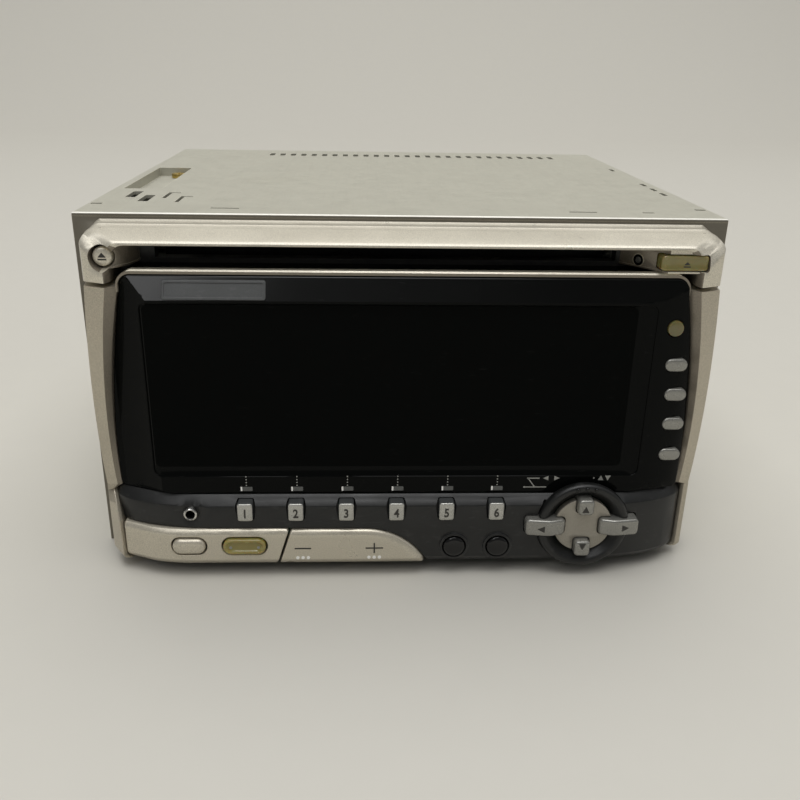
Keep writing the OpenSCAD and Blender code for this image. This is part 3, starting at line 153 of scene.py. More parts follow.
def rough(material, value, low, high):
    """Lets the roughness wander between two values."""
    shader = material.node_tree.nodes["Principled BSDF"]
    material.node_tree.links.new(span(material, value, 0.3, 0.7, low, high), shader.inputs["Roughness"])


def bump(material, value, height, strength=1.0):
    """Raises the surface by up to height millimetres."""
    tree = material.node_tree
    node = tree.nodes.new("ShaderNodeBump")
    node.inputs["Strength"].default_value = strength
    node.inputs["Distance"].default_value = height * MM
    tree.links.new(value, node.inputs["Height"])
    tree.links.new(node.outputs["Normal"], tree.nodes["Principled BSDF"].inputs["Normal"])


def edges(material, radius):
    """1 along sharp edges and 0 elsewhere, for paint that rubs off there and for painted highlights along
    edges.
    """
    tree = material.node_tree
    soft = tree.nodes.new("ShaderNodeBevel")
    soft.inputs["Radius"].default_value = radius * MM
    true = tree.nodes.new("ShaderNodeNewGeometry")
    dot = tree.nodes.new("ShaderNodeVectorMath")
    dot.operation = "DOT_PRODUCT"
    tree.links.new(soft.outputs["Normal"], dot.inputs[0])
    tree.links.new(true.outputs["Normal"], dot.inputs[1])
    return span(material, dot.outputs["Value"], 0.96, 0.80)


print("finish helpers ready")

# %% [markdown]
# The silver of the bezel and the door is metallic paint on plastic: a warm champagne tone with flakes a
# tenth of a millimetre wide under a thin clear coat. Half a metal is enough for that; a full metal would
# only mirror the room.

# %% Silver paints
def flake_paint(name, tone, metal, shine):
    material = new_finish(name, tone, Metallic=metal, Coat_Weight=0.25, Coat_Roughness=0.18)
    flakes = grain(material, 0.12, 1.0)
    tint(material, span(material, flakes, 0.52, 0.70), tuple(1.22 * c for c in tone))
    tint(material, span(material, flakes, 0.46, 0.30), tuple(0.80 * c for c in tone))
    smudge = grain(material, 14, 5.0)
    tint(material, span(material, smudge, 0.56, 0.85, 0, 0.35), tuple(0.72 * c for c in tone))
    rough(material, grain(material, 5, 4.0), shine - 0.05, shine + 0.07)
    bump(material, flakes, 0.012, 0.35)
    return material


# One paint in four tones: the plain champagne; a lighter copy, painted light, for the bezel, the open key and
# the rim's bead; a darker copy, painted shade, for the door's surround; and a much darker copy, painted
# shade, for faces turned inward.
champagne = flake_paint("champagne_paint", paint(200, 193, 176), 0.5, 0.32)
champagne_painted_light = flake_paint("champagne_painted_light", paint(212, 206, 190), 0.5, 0.32)
trim_painted_shade = flake_paint("trim_painted_shade", paint(184, 176, 159), 0.5, 0.34)
champagne_painted_shade = flake_paint("champagne_painted_shade", paint(134, 126, 113), 0.5, 0.36)
number_silver = flake_paint("number_silver", paint(178, 177, 170), 0.45, 0.28)
key_silver = flake_paint("key_silver", paint(142, 141, 135), 0.5, 0.26)
disc_silver = flake_paint("disc_silver", paint(150, 145, 134), 0.5, 0.36)
print("silver paints:", champagne.name, key_silver.name)

# %% [markdown]
# The case is zinc-plated sheet. Up close it shows faint crystals, fine rolling lines from front to back, and
# bright edges, partly bare cut metal and partly a painted highlight. A cell texture gives the crystals and
# stretched noise gives the lines.

# %% Zinc sheet
def zinc(name, tone):
    material = new_finish(name, tone, Metallic=0.35)
    tree = material.node_tree
    place = tree.nodes.new("ShaderNodeTexCoord")
    crystals = tree.nodes.new("ShaderNodeTexVoronoi")
    crystals.inputs["Scale"].default_value = 220
    tree.links.new(place.outputs["Object"], crystals.inputs["Vector"])
    split = tree.nodes.new("ShaderNodeSeparateColor")
    tree.links.new(crystals.outputs["Color"], split.inputs["Color"])
    tint(material, span(material, split.outputs["Red"], 0.2, 1.0, 0, 0.22), tuple(1.12 * c for c in tone))
    lines = grain(material, 0.5, 2.0, (1, 0.03, 1))
    tint(material, span(material, lines, 0.5, 0.75, 0, 0.3), tuple(0.86 * c for c in tone))
    stain = grain(material, 30, 6.0)
    stained = tuple(c * d for c, d in zip(tone, (0.86, 0.84, 0.78)))
    tint(material, span(material, stain, 0.55, 0.8, 0, 0.35), stained)
    # Sharp edges painted much lighter: partly bare cut metal, partly a painted highlight.
    tint(material, edges(material, 0.35), tuple(min(1.9 * c, 1) for c in tone))
    rough(material, grain(material, 3, 4.0), 0.40, 0.56)
    bump(material, lines, 0.01, 0.25)
    return material


zinc_sheet = zinc("zinc_sheet", paint(186, 184, 170))
zinc_painted_shade = zinc("zinc_painted_shade", paint(116, 111, 99))
zinc_painted_highlight = zinc("zinc_painted_highlight", paint(240, 238, 228))
deck_steel = zinc("deck_steel", paint(170, 170, 164))
print("zinc:", zinc_sheet.name, deck_steel.name)

# %% [markdown]
# The display is a thick black acrylic window, and the strip below it is black plastic with a satin coat
# that years of fingers have polished and scuffed. Gloss black is mostly what it reflects, so its own colour
# is nearly nothing.

# %% Black plastics
def gloss_black(name, tone, shine, reflect):
    material = new_finish(name, tone, Specular_IOR_Level=reflect)
    rough(material, grain(material, 8, 5.0), shine, shine + 0.05)
    hair = grain(material, 0.25, 2.0, (0.12, 1, 1))
    tint(material, span(material, hair, 0.70, 0.80, 0, 0.25), tuple(c + 0.03 for c in tone))
    return material


def reflection_painted_black(name, tone, shine, bright, dull, start, end):
    """Gloss black whose reflection is set strong at one end of the display and weak towards the other: a
    painted reflection.
    """
    material = gloss_black(name, tone, shine, bright)
    tree = material.node_tree
    place = tree.nodes.new("ShaderNodeTexCoord")
    split = tree.nodes.new("ShaderNodeSeparateXYZ")
    tree.links.new(place.outputs["Object"], split.inputs["Vector"])
    painted_reflection = span(material, split.outputs["X"], start * MM, end * MM, bright, dull)
    tree.links.new(painted_reflection, tree.nodes["Principled BSDF"].inputs["Specular IOR Level"])
    return material


def satin_black(name, tone, worn):
    material = new_finish(name, tone, Specular_IOR_Level=0.5)
    leather = grain(material, 0.18, 2.0)
    tint(material, span(material, leather, 0.45, 0.75, 0, 0.5), tuple(1.5 * c for c in tone))
    scuff = grain(material, 1.6, 6.0, (1, 1, 2.2))
    tint(material, span(material, scuff, 0.60, 0.78, 0, 0.55), worn)
    tint(material, edges(material, 0.3), worn)
    rough(material, grain(material, 4, 4.0), 0.32, 0.48)
    bump(material, leather, 0.012, 0.4)
    return material


lens_black = gloss_black("lens_black", (0.0026, 0.003, 0.0028), 0.06, 0.07)
brow_black = reflection_painted_black("brow_black", (0.004, 0.0043, 0.0041), 0.16, 0.42, 0.07, -66, 45)
screen_black = gloss_black("screen_black", (0.0018, 0.0022, 0.002), 0.09, 0.03)
key_black = gloss_black("key_black", (0.006, 0.006, 0.006), 0.14, 0.4)
strip_black = satin_black("strip_black", (0.0065, 0.007, 0.0068), (0.04, 0.04, 0.04))
dark_plastic = satin_black("dark_plastic", (0.02, 0.021, 0.021), (0.05, 0.05, 0.05))
badge_grey = satin_black("badge_grey", (0.055, 0.058, 0.058), (0.11, 0.11, 0.11))
print("blacks:", lens_black.name, strip_black.name)

# %% [markdown]
# Two bar keys and one round key are clear plastic that has yellowed to olive. Light enters and scatters, so a
# little subsurface colour with a gloss coat looks right from every side and still exports.

# %% Aged clear plastic
def aged_clear(name, tone):
    material = new_finish(name, tone, Subsurface_Weight=0.35, Subsurface_Scale=0.002, Coat_Weight=0.5,
                          Coat_Roughness=0.08)
    haze = grain(material, 2.2, 4.0)
    tint(material, span(material, haze, 0.5, 0.8, 0, 0.5), tuple(1.5 * c for c in tone))
    # Edges painted lighter: a painted highlight.
    tint(material, edges(material, 0.6), tuple(min(1.9 * c, 1) for c in tone))
    rough(material, haze, 0.16, 0.30)
    bump(material, grain(material, 0.5, 2.0), 0.01, 0.2)
    return material


aged_amber = aged_clear("aged_amber", paint(142, 131, 72))
aged_straw = aged_clear("aged_straw", paint(126, 117, 68))
aged_olive = aged_clear("aged_olive", paint(106, 100, 62))
print("aged plastic:", aged_amber.name, aged_straw.name)

# %% [markdown]
# The rest are small lots: bright steel, yellow-passivated screws, rubber, white gears, the green circuit
# boards and the black anodised heat sink. One recipe serves them all, with its own tone, lump size and
# shine.

# %% Small lots
def plain_lot(name, tone, metal, shine, lump, depth=0.01, reflect=0.5):
    material = new_finish(name, tone, Metallic=metal, Specular_IOR_Level=reflect)
    lumps = grain(material, lump, 4.0)
    tint(material, span(material, lumps, 0.5, 0.8, 0, 0.6), tuple(min(1.35 * c + 0.004, 1) for c in tone))
    tint(material, span(material, lumps, 0.45, 0.25, 0, 0.6), tuple(0.75 * c for c in tone))
    rough(material, grain(material, lump * 3, 4.0), shine - 0.06, shine + 0.08)
    bump(material, lumps, depth, 0.3)
    return material


bright_steel = plain_lot("bright_steel", paint(205, 204, 200), 1.0, 0.22, 0.3)
brass_plate = plain_lot("brass_plate", paint(196, 170, 96), 0.9, 0.30, 0.4)
rubber_black = plain_lot("rubber_black", (0.012, 0.012, 0.012), 0.0, 0.75, 0.25, 0.03, 0.3)
gear_white = plain_lot("gear_white", paint(222, 219, 205), 0.0, 0.45, 0.6)
board_green = plain_lot("board_green", paint(30, 86, 56), 0.0, 0.35, 0.8)
sink_black = plain_lot("sink_black", (0.02, 0.021, 0.022), 0.6, 0.42, 0.2)
print_pale = plain_lot("print_pale", paint(150, 150, 144), 0.0, 0.55, 0.1)
print_grey = plain_lot("print_grey", paint(92, 93, 91), 0.0, 0.55, 0.1)
print_dark = plain_lot("print_dark", paint(48, 46, 42), 0.0, 0.55, 0.1)
dot_white = plain_lot("dot_white", paint(246, 245, 240), 0.0, 0.4, 0.1)
print("small lots ready:", len(bpy.data.materials), "finishes in all")

# %% [markdown]
# The stage is a pale floor that turns up into a wall behind the stereo, as in a studio, so no horizon
# shows. One very large soft box hangs over it, with a small lamp above the front for the bright lines along
# edges, a panel at the left that shines in the display's slope, a weak one at the right, and a dim even
# room around.

# %% Floor, light and room
FLOOR_TONE = paint(206, 203, 194)
ROOM_LIGHT = 0.16
COVE_START, COVE_R, COVE_TOP, COVE_HALF = 1.2, 1.0, 2.9, 4.0


def area_light(name, place, aim, size, power):
    data = bpy.data.lights.new(name, "AREA")
    data.size = size
    data.energy = power
    light = bpy.data.objects.new(name, data)
    light.location = place
    light.rotation_euler = (Vector(aim) - Vector(place)).to_track_quat("-Z", "Y").to_euler()
    bpy.context.scene.collection.objects.link(light)


area_light("soft_box", (0.1, 0.5, 3.0), (0.1, 0.5, 0), 3.6, 80.0)
area_light("front_lamp", (0.05, -0.9, 1.75), (0, -0.08, 0.05), 0.8, 7.5)
area_light("left_panel", (-0.55, -1.1, 1.1), (0, -0.08, 0.05), 0.5, 2.0)
area_light("side_fill", (1.3, -0.45, 0.7), (0, -0.08, 0.05), 0.8, 0.7)

floor_material = new_finish("floor_pale", FLOOR_TONE, Roughness=0.9, Specular_IOR_Level=0.1)
tint(floor_material, span(floor_material, grain(floor_material, 6, 4.0), 0.4, 0.7, 0, 0.25),
     tuple(0.97 * c for c in FLOOR_TONE))
cove = [(-COVE_HALF, 0)]
for k in range(25):
    turn = math.pi / 2 * k / 24
    cove.append((COVE_START + COVE_R * math.sin(turn), COVE_R * (1 - math.cos(turn))))
cove.append((COVE_START + COVE_R, COVE_TOP))
corners = [(side * COVE_HALF, y, z) for y, z in cove for side in (-1, 1)]
quads = [(i, i + 1, i + 3, i + 2) for i in range(0, 2 * len(cove) - 2, 2)]
floor_mesh = bpy.data.meshes.new("floor")
floor_mesh.from_pydata(corners, [], quads)
floor_mesh.shade_smooth()
floor_mesh.materials.append(floor_material)
floor = bpy.data.objects.new("floor", floor_mesh)
floor.location.z = -0.0002
bpy.context.scene.collection.objects.link(floor)

world = bpy.data.worlds.new("room")
world.use_nodes = True
bpy.context.scene.world = world
room = world.node_tree.nodes["Background"]
room.inputs["Color"].default_value = (1, 1, 1, 1)
room.inputs["Strength"].default_value = ROOM_LIGHT
print("stage ready")

# %% [markdown]
# Every front piece is a moulding seen from the front: an outline, a face that may bow or slope, and a
# rounded edge. Drawing the outline first, then stacking rings that follow the edge's quarter circle, and
# last filling the face with triangles gives exact shapes with holes. A cube with a bevel could not follow
# the bowed front.

# %% Helpers for outlines
def rounded(corners, turns=6, split=1):
    """The outline of a polygon whose corners are (x, z, radius)."""
    line = []
    for i, (x, z, radius) in enumerate(corners):
        here = Vector((x, z))
        back = Vector(corners[i - 1][:2]) - here
        ahead = Vector(corners[(i + 1) % len(corners)][:2]) - here
        back.normalize()
        ahead.normalize()
        if radius:
            half = back.angle(ahead) / 2
            centre = here + (back + ahead).normalized() * radius / math.sin(half)
            first = here + back * radius / math.tan(half) - centre
            start = math.atan2(first.y, first.x)
            last = here + ahead * radius / math.tan(half) - centre
            swing = (math.atan2(last.y, last.x) - start + math.pi) % (2 * math.pi) - math.pi
            line += [centre + radius * Vector((math.cos(start + swing * k / turns),
                                               math.sin(start + swing * k / turns)))
                     for k in range(turns + 1)]
        else:
            line.append(here)
    fine = []
    for i, here in enumerate(line):
        ahead = line[(i + 1) % len(line)]
        parts = split if (ahead - here).length > 1.5 else 1
        fine += [here.lerp(ahead, k / parts) for k in range(parts)]
    area = sum(a.cross(b) for a, b in zip(fine, fine[1:] + fine[:1]))
    return fine if area > 0 else fine[::-1]


def bar(x, z, width, height, radius, turns=6, split=1):
    """A rectangle with rounded corners round a middle point."""
    left, low = x - width / 2, z - height / 2
    return rounded([(left, low, radius), (left + width, low, radius),
                    (left + width, low + height, radius), (left, low + height, radius)], turns, split)


def circle(x, z, radius, turns=48):
    return [Vector((x + radius * math.cos(a), z + radius * math.sin(a)))
            for a in (2 * math.pi * k / turns for k in range(turns))]


def shrunk(line, inset):
    """An outline moved inwards, or outwards where inset is below 0."""
    moved = []
    for i, here in enumerate(line):
        before = (here - line[i - 1]).normalized()
        after = (line[(i + 1) % len(line)] - here).normalized()
        left = Vector((-before.y, before.x))
        other = Vector((-after.y, after.x))
        moved.append(here + (left + other) * inset / max(1 + left.dot(other), 0.3))
    return moved


def inside(points, line):
    """Which of the points, an array of x and z, lie inside an outline."""
    ends = np.array(line)
    starts = np.roll(ends, 1, 0)
    x, z = points[:, 0, None], points[:, 1, None]
    spans = (starts[:, 1] > z) != (ends[:, 1] > z)
    rise = np.where(starts[:, 1] == ends[:, 1], 1e-9, ends[:, 1] - starts[:, 1])
    cross = x < starts[:, 0] + (z - starts[:, 1]) / rise * (ends[:, 0] - starts[:, 0])
    return (spans & cross).sum(1) % 2 == 1


print("outline of a key has", len(bar(0, 0, 4, 5, 0.6)), "points")

# %% Helpers for mouldings
def ring(bm, line, depth):
    return [bm.verts.new((p.x, depth(p.x, p.y) if callable(depth) else depth, p.y)) for p in line]


def band(bm, low, high, slot=0):
    for i in range(len(low)):
        face = bm.faces.new((low[i - 1], low[i], high[i], high[i - 1]))
        face.material_index = slot


def skin(bm, rings, depth, spots=(), slot=0):
    """Fills the area inside the first ring and outside the others, through extra points in between."""
    lines = [[Vector((v.co.x, v.co.z)) for v in one] for one in rings]
    points, verts, links = [], [], []
    for one, line in zip(rings, lines):
        first = len(points)
        links += [(first + i, first + (i + 1) % len(line)) for i in range(len(line))]
        points += line
        verts += one
    if len(spots):
        cloud = np.array(spots, float)
        border = np.array(points)
        keep = inside(cloud, lines[0])
        for line in lines[1:]:
            keep &= ~inside(cloud, line)
        near = np.sqrt(((cloud[:, None] - border[None]) ** 2).sum(2)).min(1)
        for x, z in cloud[keep & (near > 0.25)]:
            points.append(Vector((x, z)))
            verts.append(bm.verts.new((x, depth(x, z) if callable(depth) else depth, z)))
    places, _, faces, origin, _, _ = geometry.delaunay_2d_cdt(points, links, [], 1, 1e-6)
    middles = np.array([sum((places[i] for i in face), Vector((0, 0))) / len(face) for face in faces])
    keep = inside(middles, lines[0])
    for line in lines[1:]:
        keep &= ~inside(middles, line)
    for face, kept in zip(faces, keep):
        if kept:
            bm.faces.new([verts[origin[i][0]] for i in face]).material_index = slot


def rim(bm, line, face, back, edge, side=1, steps=3):
    """Rings from the back of an outline round its front edge. side is -1 for a hole."""
    rings = [ring(bm, line, back)]
    for k in range(steps + 1 if edge else 1):
        turn = math.pi / 2 * k / steps
        inset = edge * (1 - math.cos(turn))
        sink = edge * (1 - math.sin(turn))
        moved = shrunk(line, side * inset) if inset else line
        rings.append([bm.verts.new((p.x, face(p.x, p.y) + sink, p.y)) for p in moved])
    if edge:
        rings.append(ring(bm, shrunk(line, side * edge * 1.35), face))
    for low, high in zip(rings, rings[1:]):
        band(bm, low, high)
    return rings


def moulding(bm, line, face, back, edge=0.4, holes=(), hole_edge=0.15, spots=(), slot=0):
    """A closed plate with a rounded front edge. face(x, z) gives the depth of its front."""
    first = len(bm.faces)
    outer = rim(bm, line, face, back, edge)
    inner = [rim(bm, hole, face, back, hole_edge, -1) for hole in holes]
    skin(bm, [outer[-1]] + [r[-1] for r in inner], face, spots)
    skin(bm, [outer[0]] + [r[0] for r in inner], back)
    bm.faces.ensure_lookup_table()
    for face in bm.faces[first:]:
        face.material_index = slot


def lattice(xs, zs):
    return [(x, z) for x in xs for z in zs]


def steps(low, high, step):
    count = max(int(round((high - low) / step)), 1)
    return [low + (high - low) * k / count for k in range(count + 1)]


def loft(bm, sections, slot=0):
    """Joins closed sections of equally many points, and closes both ends."""
    rings = [[bm.verts.new(p) for p in section] for section in sections]
    for low, high in zip(rings, rings[1:]):
        band(bm, low, high, slot)
    for end in (rings[0], rings[-1]):
        bm.faces.new(end).material_index = slot


def lathe(bm, profile, place, axis=(0, -1, 0), turns=48, slot=0):
    """Turns a line of (radius, height) about an axis through place. A radius of 0 closes the end."""
    axis = Vector(axis).normalized()
    side = axis.orthogonal().normalized()
    other = axis.cross(side)
    last = None
    for radius, height in profile:
        middle = Vector(place) + axis * height
        if radius == 0:
            now = [bm.verts.new(middle)]
        else:
            now = [bm.verts.new(middle + radius * (math.cos(a) * side + math.sin(a) * other))
                   for a in (2 * math.pi * k / turns for k in range(turns))]
        if last is not None:
            for i in range(turns):
                if len(last) == 1:
                    corners = (last[0], now[i], now[i - 1])
                elif len(now) == 1:
                    corners = (last[i - 1], last[i], now[0])
                else:
                    corners = (last[i - 1], last[i], now[i], now[i - 1])
                bm.faces.new(corners).material_index = slot
        last = now


print("moulding helpers ready")

# %% Helpers for finished pieces
def finished(name, bm, finishes, body, nodes=(), sharp=32):
    """Turns a drawing in millimetres into an object that rides on a body and stands for CAD nodes."""
    bmesh.ops.recalc_face_normals(bm, faces=bm.faces)
    mesh = bpy.data.meshes.new(name)
    for vert in bm.verts:
        vert.co = in_frame(*vert.co)
    bm.to_mesh(mesh)
    bm.free()
    return dressed(name, mesh, finishes, body, nodes, sharp)


def dressed(name, mesh, finishes, body, nodes=(), sharp=32):
    for one in finishes:
        mesh.materials.append(one)
    mesh.shade_smooth()
    mesh.set_sharp_from_angle(angle=math.radians(sharp))
    piece = bpy.data.objects.new(name, mesh)
    bpy.context.scene.collection.objects.link(piece)
    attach(piece, body)
    if nodes:
        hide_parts(*nodes)
    print(name, "has", len(mesh.polygons), "faces")
    return piece


def shaded(bm, slot, test):
    """Gives a finish to the faces that a test of middle and outward normal picks."""
    bmesh.ops.recalc_face_normals(bm, faces=bm.faces)
    bm.normal_update()
    for face in bm.faces:
        if test(face.calc_center_median(), face.normal):
            face.material_index = slot


def turned_in(middle, normal):
    """Faces at the sides of the front that look towards its middle."""
    to_middle = -normal.x * math.copysign(1, middle.x)
    return middle.y < -4.5 and abs(middle.x) > 58 and normal.y < 0.1 and to_middle > 0.12


def drawing_of(node):
    """A CAD node's mesh in millimetres, joined along its triangles and without flat diagonals."""
    bm = bmesh.new()
    bm.from_mesh(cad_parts[node].data)
    for vert in bm.verts:
        vert.co = Vector((vert.co.x, vert.co.y - CASE_FRONT, vert.co.z)) / MM
    evened(bm)
    return bm


def evened(bm):
    bmesh.ops.remove_doubles(bm, verts=bm.verts, dist=0.002)
    bmesh.ops.dissolve_limit(bm, angle_limit=math.radians(0.6), verts=bm.verts, edges=bm.edges)


def broken(bm, width, angle=35, chosen=lambda edge: True, segments=2, clamp=True):
    """Breaks the sharp edges of a drawing by width millimetres."""
    hard = [e for e in bm.edges if e.is_manifold and e.calc_face_angle(0) > math.radians(angle) and chosen(e)]
    bmesh.ops.bevel(bm, geom=hard, offset=width, segments=segments, profile=0.5, affect="EDGES",
                    clamp_overlap=clamp)


def softened(name, node, finish, body, width, angle=35, sharp=32):
    """A copy of a CAD node whose sharp edges are broken."""
    bm = drawing_of(node)
    broken(bm, width, angle)
    return finished(name, bm, [finish], body, [node], sharp)


def carved(bm, **others):
    """A drawing after UNION, INTERSECT and DIFFERENCE with other drawings, in the order they are named."""
    things = {}
    for key, drawing in {"BASE": bm, **others}.items():
        bmesh.ops.recalc_face_normals(drawing, faces=drawing.faces)
        mesh = bpy.data.meshes.new("carving")
        drawing.to_mesh(mesh)
        drawing.free()
        things[key] = bpy.data.objects.new("carving", mesh)
        bpy.context.scene.collection.objects.link(things[key])
    for operation in others:
        modifier = things["BASE"].modifiers.new(operation, "BOOLEAN")
        modifier.operation = operation
        modifier.solver = "EXACT"
        modifier.use_self = True
        modifier.object = things[operation]
    bpy.context.view_layer.update()
    result = bmesh.new()
    result.from_mesh(things["BASE"].evaluated_get(bpy.context.evaluated_depsgraph_get()).to_mesh())
    for thing in things.values():
        bpy.data.objects.remove(thing)
    evened(result)
    return result


print("piece helpers ready")

# %% [markdown]
# ## The case
#
# The lid, the pan and the rear wall are folded sheet. Their CAD shapes are right, so copies of them get
# their sharp edges broken: cut edges by a tenth of a millimetre, and the lid's folds by half a
# millimetre, which is what lets a bright line run along its front. The faces of lid and pan that look
# forward beside the bezel take a darker zinc, painted shade, and the lid's front fold a very pale zinc, a
# painted highlight.

# %% Sheet case
LID_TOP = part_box("top_cover")[1].z / MM
SHEET_SHARP = 10


def folded(edge):
    """Long edges round the top of the lid, where the sheet turns down."""
    return edge.calc_length() > 60 and all(vert.co.z > LID_TOP - 0.01 for vert in edge.verts)


def front_edge(middle, normal):
    """Faces of the sheet that look forward, beside the bezel; they take a darker zinc, painted shade."""
    return normal.y < -0.8 and middle.y < 1.5


# The lid's front fold, which takes a very pale zinc: a painted highlight for the bright line along it.
def front_fold(middle, normal):
    return -0.97 < normal.y < -0.1 and normal.z > 0.1 and middle.y < 1.5 and middle.z > LID_TOP - 1


lid = drawing_of("top_cover")
broken(lid, 0.5, chosen=folded, segments=4, clamp=False)
broken(lid, 0.1)
shaded(lid, 1, front_edge)
shaded(lid, 2, front_fold)
finished("lid", lid, [zinc_sheet, zinc_painted_shade, zinc_painted_highlight], "chassis", ["top_cover"], SHEET_SHARP)
pan = drawing_of("chassis_pan")
broken(pan, 0.12)
shaded(pan, 1, front_edge)
finished("pan", pan, [zinc_sheet, zinc_painted_shade], "chassis", ["chassis_pan"], SHEET_SHARP)
softened("rear_wall", "rear_panel", zinc_sheet, "chassis", 0.12, sharp=SHEET_SHARP)
softened("cooling_fins", "heat_sink", sink_black, "chassis", 0.25, sharp=SHEET_SHARP)
softened("rear_sockets_moulding", "rear_sockets", dark_plastic, "chassis", 0.3)
softened("screw_heads", "case_screws", brass_plate, "chassis", 0.25)

# %% [markdown]
# ## The bezel
#
# The bezel is an arch: a deep sloping brow over the disc slot that turns down into two faceted legs. Its
# section changes on the way, so it is lofted between the outer and the inner outline, with a profile that
# blends from the leg's to the brow's as it goes round the corner. Two slanted cheeks are joined on and the
# keys' holes cut out.

# %% Bezel arch
LEG_FOOT = 85.0
BEZEL_OUT, BEZEL_TOP, BEZEL_OUT_R = 84.1, 98.0, 3.4
BEZEL_IN, BEZEL_LIP, BEZEL_IN_R = 76.32, 94.0, 6.5
# Each profile gives (share of the way in, depth) from the outer back to the inner back
LEG_PROFILE = [(0, 0), (0, -0.3), (0, -0.6), (0, -0.9), (0, -2.6), (0, -2.9), (0, -3.2), (0, -9.0),
               (0.08, -14.0),
               (0.15, -15.0), (0.81, -17.25), (0.86, -17.4), (0.90, -17.1), (0.985, -15.4), (1, -15.0),
               (1, -4)]
BROW_PROFILE = [(-0.075, 0), (-0.10, -0.25), (-0.09, -0.6), (-0.05, -0.85), (0.05, -4.2), (0.025, -4.5),
                (0.07, -4.8),
                (0.12, -7.7), (0.14, -8.0), (0.34, -12.0), (0.56, -15.6), (0.61, -16.3), (0.68, -16.75),
                (0.76, -16.9), (0.83, -16.7), (0.83, -4)]
LAST_OUTSIDE = 8


def arch_stations():
    """Outer and inner points and the way out, from foot to foot, with 1 on the brow and 0 on a leg."""
    outer_z, inner_z = BEZEL_TOP - BEZEL_OUT_R, BEZEL_LIP - BEZEL_IN_R
    half = []
    for t in steps(0, 1, 0.2)[:-1]:
        outer = (-BEZEL_OUT, LEG_FOOT + t * (outer_z - LEG_FOOT))
        half.append((outer, (-BEZEL_IN, LEG_FOOT + t * (inner_z - LEG_FOOT)), (-1, 0), 0.0))
    for k in range(17):
        turn = math.pi - math.pi / 2 * k / 16
        share = k / 16
        outer = (-BEZEL_OUT + BEZEL_OUT_R * (1 + math.cos(turn)), outer_z + BEZEL_OUT_R * math.sin(turn))
        inner = (-BEZEL_IN + BEZEL_IN_R * (1 + math.cos(turn)), inner_z + BEZEL_IN_R * math.sin(turn))
        half.append((outer, inner, (math.cos(turn), math.sin(turn)), share * share * (3 - 2 * share)))
    other = [((-o[0], o[1]), (-i[0], i[1]), (-n[0], n[1]), w) for o, i, n, w in half[::-1]]
    return half + other


def arch_section(outer, inner, out, brow):
    """Round the corner the outer side keeps its distance, and the rest its share of the width."""
    width = (outer[0] - inner[0]) * out[0] + (outer[1] - inner[1]) * out[1]
    section = []
    for k, ((leg_share, leg_depth), (brow_share, brow_depth)) in enumerate(zip(LEG_PROFILE, BROW_PROFILE)):
        if k <= LAST_OUTSIDE:
            leg_share *= (BEZEL_OUT - BEZEL_IN) / width
            brow_share *= (BEZEL_TOP - BEZEL_LIP) / width
        share = leg_share + (brow_share - leg_share) * brow
        depth = leg_depth + (brow_depth - leg_depth) * brow
        x, z = (o + (i - o) * share for o, i in zip(outer, inner))
        section.append((x, depth, z))
    return section


bezel = bmesh.new()
loft(bezel, [arch_section(*station) for station in arch_stations()])
print("bezel arch has", len(bezel.faces), "faces")

# %% Cheeks, key holes and the finished bezel
SLOT_RIGHT = 58.6
CHEEK_LOW, CHEEK_TOP, CHEEK_REACH, FRAME_FACE = 88.45, 95.1, -15.6, -4.0
LEDGE_H, LEDGE_OUT = 0.45, 0.4
OPEN_KEY = (-77.8, 91.4)
EJECT_KEY, EJECT_SIZE = (72.4, 91.2), (12.5, 4.0)

LEFT_CHEEK = [(-BEZEL_IN - 1, CHEEK_REACH), (-74.5, -13.4), (-72.4, -10.4), (-71.2, -6.8),
              (-71.0, FRAME_FACE)]
RIGHT_CHEEK = [(BEZEL_IN + 1, CHEEK_REACH), (68.4, CHEEK_REACH), (SLOT_RIGHT, FRAME_FACE)]
cheeks = bmesh.new()
for face_line in (LEFT_CHEEK, RIGHT_CHEEK):
    plan = face_line + [(face_line[0][0], FRAME_FACE)]
    loft(cheeks, [[(x, y, z) for x, y in plan] for z in (CHEEK_LOW, CHEEK_TOP)])
    way = math.copysign(0.6 * LEDGE_OUT, face_line[0][0])
    ledge = [(x - way, y - LEDGE_OUT) for x, y in face_line] + [face_line[-1], plan[-1]]
    loft(cheeks, [[(x, y, z) for x, y in ledge] for z in (CHEEK_LOW, CHEEK_LOW + LEDGE_H)])
holes = bmesh.new()
lathe(holes, [(0, 2), (2.8, 2), (2.8, 13.0), (2.95, 13.4), (3.2, 15.0), (3.65, 17.6), (3.65, 22), (0, 22)],
      (OPEN_KEY[0], 0, OPEN_KEY[1]))
eject_hole = bar(*EJECT_KEY, EJECT_SIZE[0] + 0.5, EJECT_SIZE[1] + 0.5, 0.8)
loft(holes, [[(p.x, y, p.y) for p in eject_hole] for y in (2, -20)])
bezel = carved(bezel, UNION=cheeks, DIFFERENCE=holes)
broken(bezel, 0.2, 48)
# Cheeks and the legs' inner facets take the much darker copy of the paint: painted shade.
shaded(bezel, 1, turned_in)
finished("bezel_moulding", bezel, [champagne_painted_light, champagne_painted_shade], "chassis", ["top_bezel"])

arch = rounded([(-BEZEL_OUT, -20, 0), (BEZEL_OUT, -20, 0), (BEZEL_OUT, BEZEL_TOP, BEZEL_OUT_R),
                (-BEZEL_OUT, BEZEL_TOP, BEZEL_OUT_R)])
mask = bmesh.new()
loft(mask, [[(p.x, y, p.y) for p in shrunk(arch, 0.5)] for y in (5, -40)])
slot_frame = carved(drawing_of("front_frame"), INTERSECT=mask)
broken(slot_frame, 0.15)
finished("slot_frame", slot_frame, [dark_plastic], "chassis", ["front_frame"], SHEET_SHARP)

# %% [markdown]
# The two keys in the bezel: a round dome in a dish, turned on a lathe, and a bar of aged clear plastic. The
# small ring beside the bar is the lamp that shows a disc is in. It sits square on the slanted cheek.

